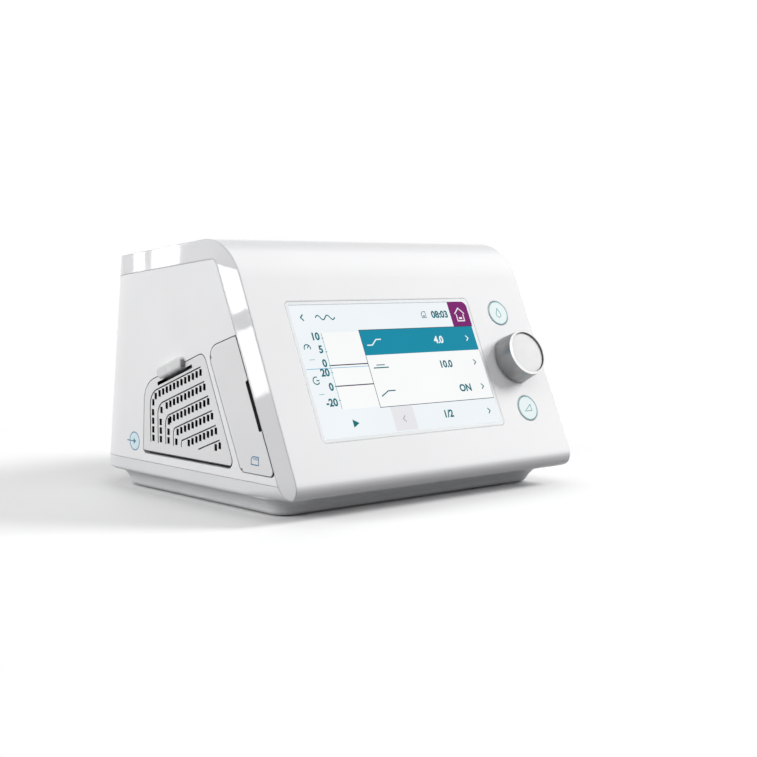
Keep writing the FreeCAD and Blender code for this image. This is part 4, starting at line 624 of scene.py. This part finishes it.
def padInk(given):
    # pad-printed ink: flat and a little rough, thin enough for the moulding's grain to show
    material = blankMaterial("padInk")
    tree = material.node_tree
    place = addNode(tree, "ShaderNodeTexCoord").outputs["Object"]
    ink = addNode(tree, "ShaderNodeAttribute", attribute_name="ink").outputs["Color"]
    grain = addNode(tree, "ShaderNodeTexNoise", {"Vector": place, "Scale": 1 / (given["grain"] * mm),
                                                 "Detail": shared["grainDetail"]})
    patch = addNode(tree, "ShaderNodeMapRange", {"Value": grain.outputs["Fac"], "To Min": 0.0,
                                                 "To Max": given["through"]})
    tint = addNode(tree, "ShaderNodeMix", {0: patch.outputs["Result"], 6: ink, 7: fromHex(given["below"])},
                   data_type="RGBA").outputs[2]
    bump = addNode(tree, "ShaderNodeBump", {"Height": grain.outputs["Fac"], "Strength": given["bump"],
                                            "Distance": given["relief"] * mm})
    shader = addNode(tree, "ShaderNodeBsdfPrincipled", {"Base Color": tint, "Roughness": given["rough"],
                                                        "IOR": given["ior"],
                                                        "Normal": bump.outputs["Normal"]})
    addNode(tree, "ShaderNodeOutputMaterial", {"Surface": shader.outputs["BSDF"]})
    return material


materials["padInk"] = padInk(inkSet)

# places and sizes in mm: the keys on the fascia, as their height up it, and the marks on the left side
marks = {
    "across": 128.4, "keys": {"key_humidity": 55.4, "key_ramp": 5.4}, "proud": 0.3, "ring": 5.95, "line": 0.42,
    "icon": 0.4, "keyInk": "#4E9AA4", "keyFill": "#EAF5F5",
    "inlet": (-48.9, 24.3), "inletRing": 4.25, "inletInk": "#2A7FA8", "inletFill": "#DCEFF6",
    "card": (47.9, 24.9), "cardInk": "#1C6F9C", "sideLine": 0.5,
    "fillLift": 0.01, "inkLift": 0.02,
}


def roundMark(middle, radius, line):
    # a disc of 48 sides, and the ring round it
    disc = arc(middle, radius, 0, 352.5, 47)
    return [disc], stroke(disc, line, True)


def keyMarks(given):
    for name, y in given["keys"].items():
        x = given["across"]
        fill, ring = roundMark((x, y), given["ring"], given["line"])
        if name == "key_humidity":
            icon = drop((x, y - 0.1), 2.5, given["icon"])
        else:
            icon = stroke([(x - 2.3, y - 1.5), (x + 2.2, y - 1.5), (x + 2.2, y + 1.7)], given["icon"], True)
        layers = [(fill, given["keyFill"], given["proud"] + given["fillLift"]),
                  (ring + icon, given["keyInk"], given["proud"] + given["inkLift"])]
        flatPiece(name + "_mark", layers, onFascia, materials["padInk"], name)


def inletMark(given):
    # an arrow into a ring
    x, y = given["inlet"]
    fill, ring = roundMark((x, y), given["inletRing"], given["sideLine"])
    arrow = stroke([(x - 6.6, y), (x + 0.2, y)], given["sideLine"])
    arrow += [[(x - 0.9, y - 1.5), (x + 1.3, y), (x - 0.9, y + 1.5)]]
    layers = [(fill, given["inletFill"], given["fillLift"]),
              (ring + arrow, given["inletInk"], given["inkLift"])]
    flatPiece("air_inlet_mark", layers, onSide, materials["padInk"], "case")


def cardMark(given):
    # the outline of a card with its cut corner and contacts
    x, y = given["card"]
    outline = stroke([(x - 2.6, y - 1.7), (x + 2.6, y - 1.7), (x + 2.6, y + 1.7), (x - 1.4, y + 1.7),
                      (x - 2.6, y + 0.6)], given["sideLine"], True)
    contacts = [rectangle(x - 0.9 + 0.95 * i, y + 0.35, x - 0.4 + 0.95 * i, y + 1.2) for i in range(4)]
    flatPiece("card_mark", [(outline + contacts, given["cardInk"], given["inkLift"])], onSide,
              materials["padInk"], "card_door")


keyMarks(marks)
inletMark(marks)
cardMark(marks)
print("marks printed")


# camera, floor and light

# lens and sensor in mm, place in metres, degrees round Z and below the horizon
cameraSet = {"lens": 64.385, "sensor": 36.0, "near": 0.01, "place": (-0.42136, -0.50807, 0.10417),
             "turn": -41.178, "dip": 4.4885}
cameraData = bpy.data.cameras.new("camera")
cameraData.lens = cameraSet["lens"]
cameraData.sensor_width = cameraSet["sensor"]
cameraData.clip_start = cameraSet["near"]
camera = bpy.data.objects.new("camera", cameraData)
camera.location = cameraSet["place"]
camera.rotation_euler = (math.radians(90 - cameraSet["dip"]), 0, math.radians(cameraSet["turn"]))
bpy.context.scene.collection.objects.link(camera)
bpy.context.scene.camera = camera

# the floor looks pale, and throws back as little light as a darker table; half its width, where it fades to
# white and its grain's depth in metres, the grain's scale per metre, and the world's strength as a light
stageSet = {"half": 4.0, "floor": "#FAFAFA", "bounce": "#868688", "fade": (0.15, 0.32), "rough": 0.6,
            "grain": 900.0, "detail": 2.0, "relief": 0.0001, "bump": 0.05, "world": 0.345}

# softboxes as (name, place, size, power, aims at, shows in mirrors), in metres and watts
lampSet = [
    ("frontBox", (-0.15, -1.0, 1.4), (1.0, 0.8), 2.4, (0, 0, 0.08), True),
    ("rightBox", (1.3, -0.8, 1.0), (0.7, 0.7), 27.0, (0, 0, 0.06), False),
    ("keyBox", (-1.35, -0.55, 1.15), (0.9, 0.9), 3.0, (0, 0, 0.06), True),
    ("sideBox", (-1.5, 0.35, 0.6), (0.6, 0.8), 10.2, (0, 0, 0.06), False),
    ("backBox", (0.35, 1.5, 0.42), (1.0, 0.6), 4.5, (0, 0, 0.06), False),
]

# narrow panels that the polished strips mirror, as (name, place, size, power, runs along, lean in degrees),
# all turned towards one point on the case
stripAim = (-0.087, -0.02, 0.09)
stripSet = [
    ("stripUpper", (-0.905, 0.299, 0.284), (0.14, 0.096), 0.39, (0.187, 0.306, 0.934), -20),
    ("stripMiddle", (-0.920, 0.271, 0.194), (0.14, 0.057), 0.21, (0.158, 0.355, 0.921), -20),
    ("roofLong", (-0.437, 0.807, 0.377), (0.14, 0.029), 0.10, (-0.292, -0.873, 0.391), -14),
    ("roofShort", (-0.427, 0.838, 0.363), (0.14, 0.011), 0.04, (-0.276, -0.871, 0.407), -14),
]


def seenRays(tree):
    # 1 for what is seen, straight or mirrored, and 0 where the object takes its light from
    path = addNode(tree, "ShaderNodeLightPath")
    return addNode(tree, "ShaderNodeMath", {0: path.outputs["Is Camera Ray"],
                                            1: path.outputs["Is Glossy Ray"]},
                   operation="MAXIMUM").outputs["Value"]


def makeFloor():
    mesh = bpy.data.meshes.new("floor")
    half = stageSet["half"]
    mesh.from_pydata([(x, y, 0) for x, y in rectangle(-half, -half, half, half)], [], [(0, 1, 2, 3)])
    floor = bpy.data.objects.new("floor", mesh)
    bpy.context.scene.collection.objects.link(floor)
    # matt paint near the object, where its shadow lies; farther out the camera sees plain white
    material = blankMaterial("paintedTable")
    tree = material.node_tree
    place = addNode(tree, "ShaderNodeTexCoord").outputs["Object"]
    grain = addNode(tree, "ShaderNodeTexNoise", {"Vector": place, "Scale": stageSet["grain"],
                                                 "Detail": stageSet["detail"]})
    bump = addNode(tree, "ShaderNodeBump", {"Height": grain.outputs["Fac"], "Strength": stageSet["bump"],
                                            "Distance": stageSet["relief"]})
    looking = seenRays(tree)
    tint = addNode(tree, "ShaderNodeMix", {0: looking, 6: fromHex(stageSet["bounce"]),
                                           7: fromHex(stageSet["floor"])}, data_type="RGBA").outputs[2]
    paint = addNode(tree, "ShaderNodeBsdfPrincipled", {"Base Color": tint, "Roughness": stageSet["rough"],
                                                       "Normal": bump.outputs["Normal"]})
    reach = addNode(tree, "ShaderNodeVectorMath", {0: place}, operation="LENGTH")
    near, far = stageSet["fade"]
    fade = addNode(tree, "ShaderNodeMapRange", {"Value": reach.outputs["Value"], "From Min": near,
                                                "From Max": far}, interpolation_type="SMOOTHSTEP")
    seen = addNode(tree, "ShaderNodeMath", {0: looking, 1: fade.outputs["Result"]}, operation="MULTIPLY")
    white = addNode(tree, "ShaderNodeEmission", {"Color": (1, 1, 1, 1), "Strength": 1.0})
    mixed = addNode(tree, "ShaderNodeMixShader", {0: seen.outputs["Value"], 1: paint.outputs["BSDF"],
                                                  2: white.outputs["Emission"]})
    addNode(tree, "ShaderNodeOutputMaterial", {"Surface": mixed.outputs["Shader"]})
    mesh.materials.append(material)


def addLamp(name, place, size, power, turn, mirrored=True):
    data = bpy.data.lights.new(name, "AREA")
    data.shape = "RECTANGLE"
    data.size, data.size_y = size
    data.energy = power
    lamp = bpy.data.objects.new(name, data)
    lamp.matrix_world = Matrix.Translation(place) @ turn.to_4x4()
    lamp.visible_camera = False
    lamp.visible_glossy = mirrored
    bpy.context.scene.collection.objects.link(lamp)


def makeLamps():
    for name, place, size, power, aim, mirrored in lampSet:
        turn = (Vector(aim) - Vector(place)).to_track_quat("-Z", "Y").to_matrix()
        addLamp(name, place, size, power, turn, mirrored)
    for name, place, size, power, along, lean in stripSet:
        away = (Vector(place) - Vector(stripAim)).normalized()
        across = Vector(along).cross(away).normalized()
        square = Matrix((across, away.cross(across), away)).transposed()
        addLamp(name, place, size, power, Matrix.Rotation(math.radians(lean), 3, away) @ square)


def makeWorld():
    # a dim studio for the light, plain white where the camera looks past the table
    world = bpy.data.worlds.new("studio")
    world.use_nodes = True
    tree = world.node_tree
    tree.nodes.clear()
    studio = addNode(tree, "ShaderNodeBackground", {"Color": (1, 1, 1, 1), "Strength": stageSet["world"]})
    white = addNode(tree, "ShaderNodeBackground", {"Color": (1, 1, 1, 1), "Strength": 1.0})
    seen = addNode(tree, "ShaderNodeMixShader", {0: seenRays(tree), 1: studio.outputs["Background"],
                                                 2: white.outputs["Background"]})
    addNode(tree, "ShaderNodeOutputWorld", {"Surface": seen.outputs["Shader"]})
    bpy.context.scene.world = world


makeFloor()
makeLamps()
makeWorld()
bpy.context.scene.view_settings.view_transform = "Standard"
print("camera and stage set")
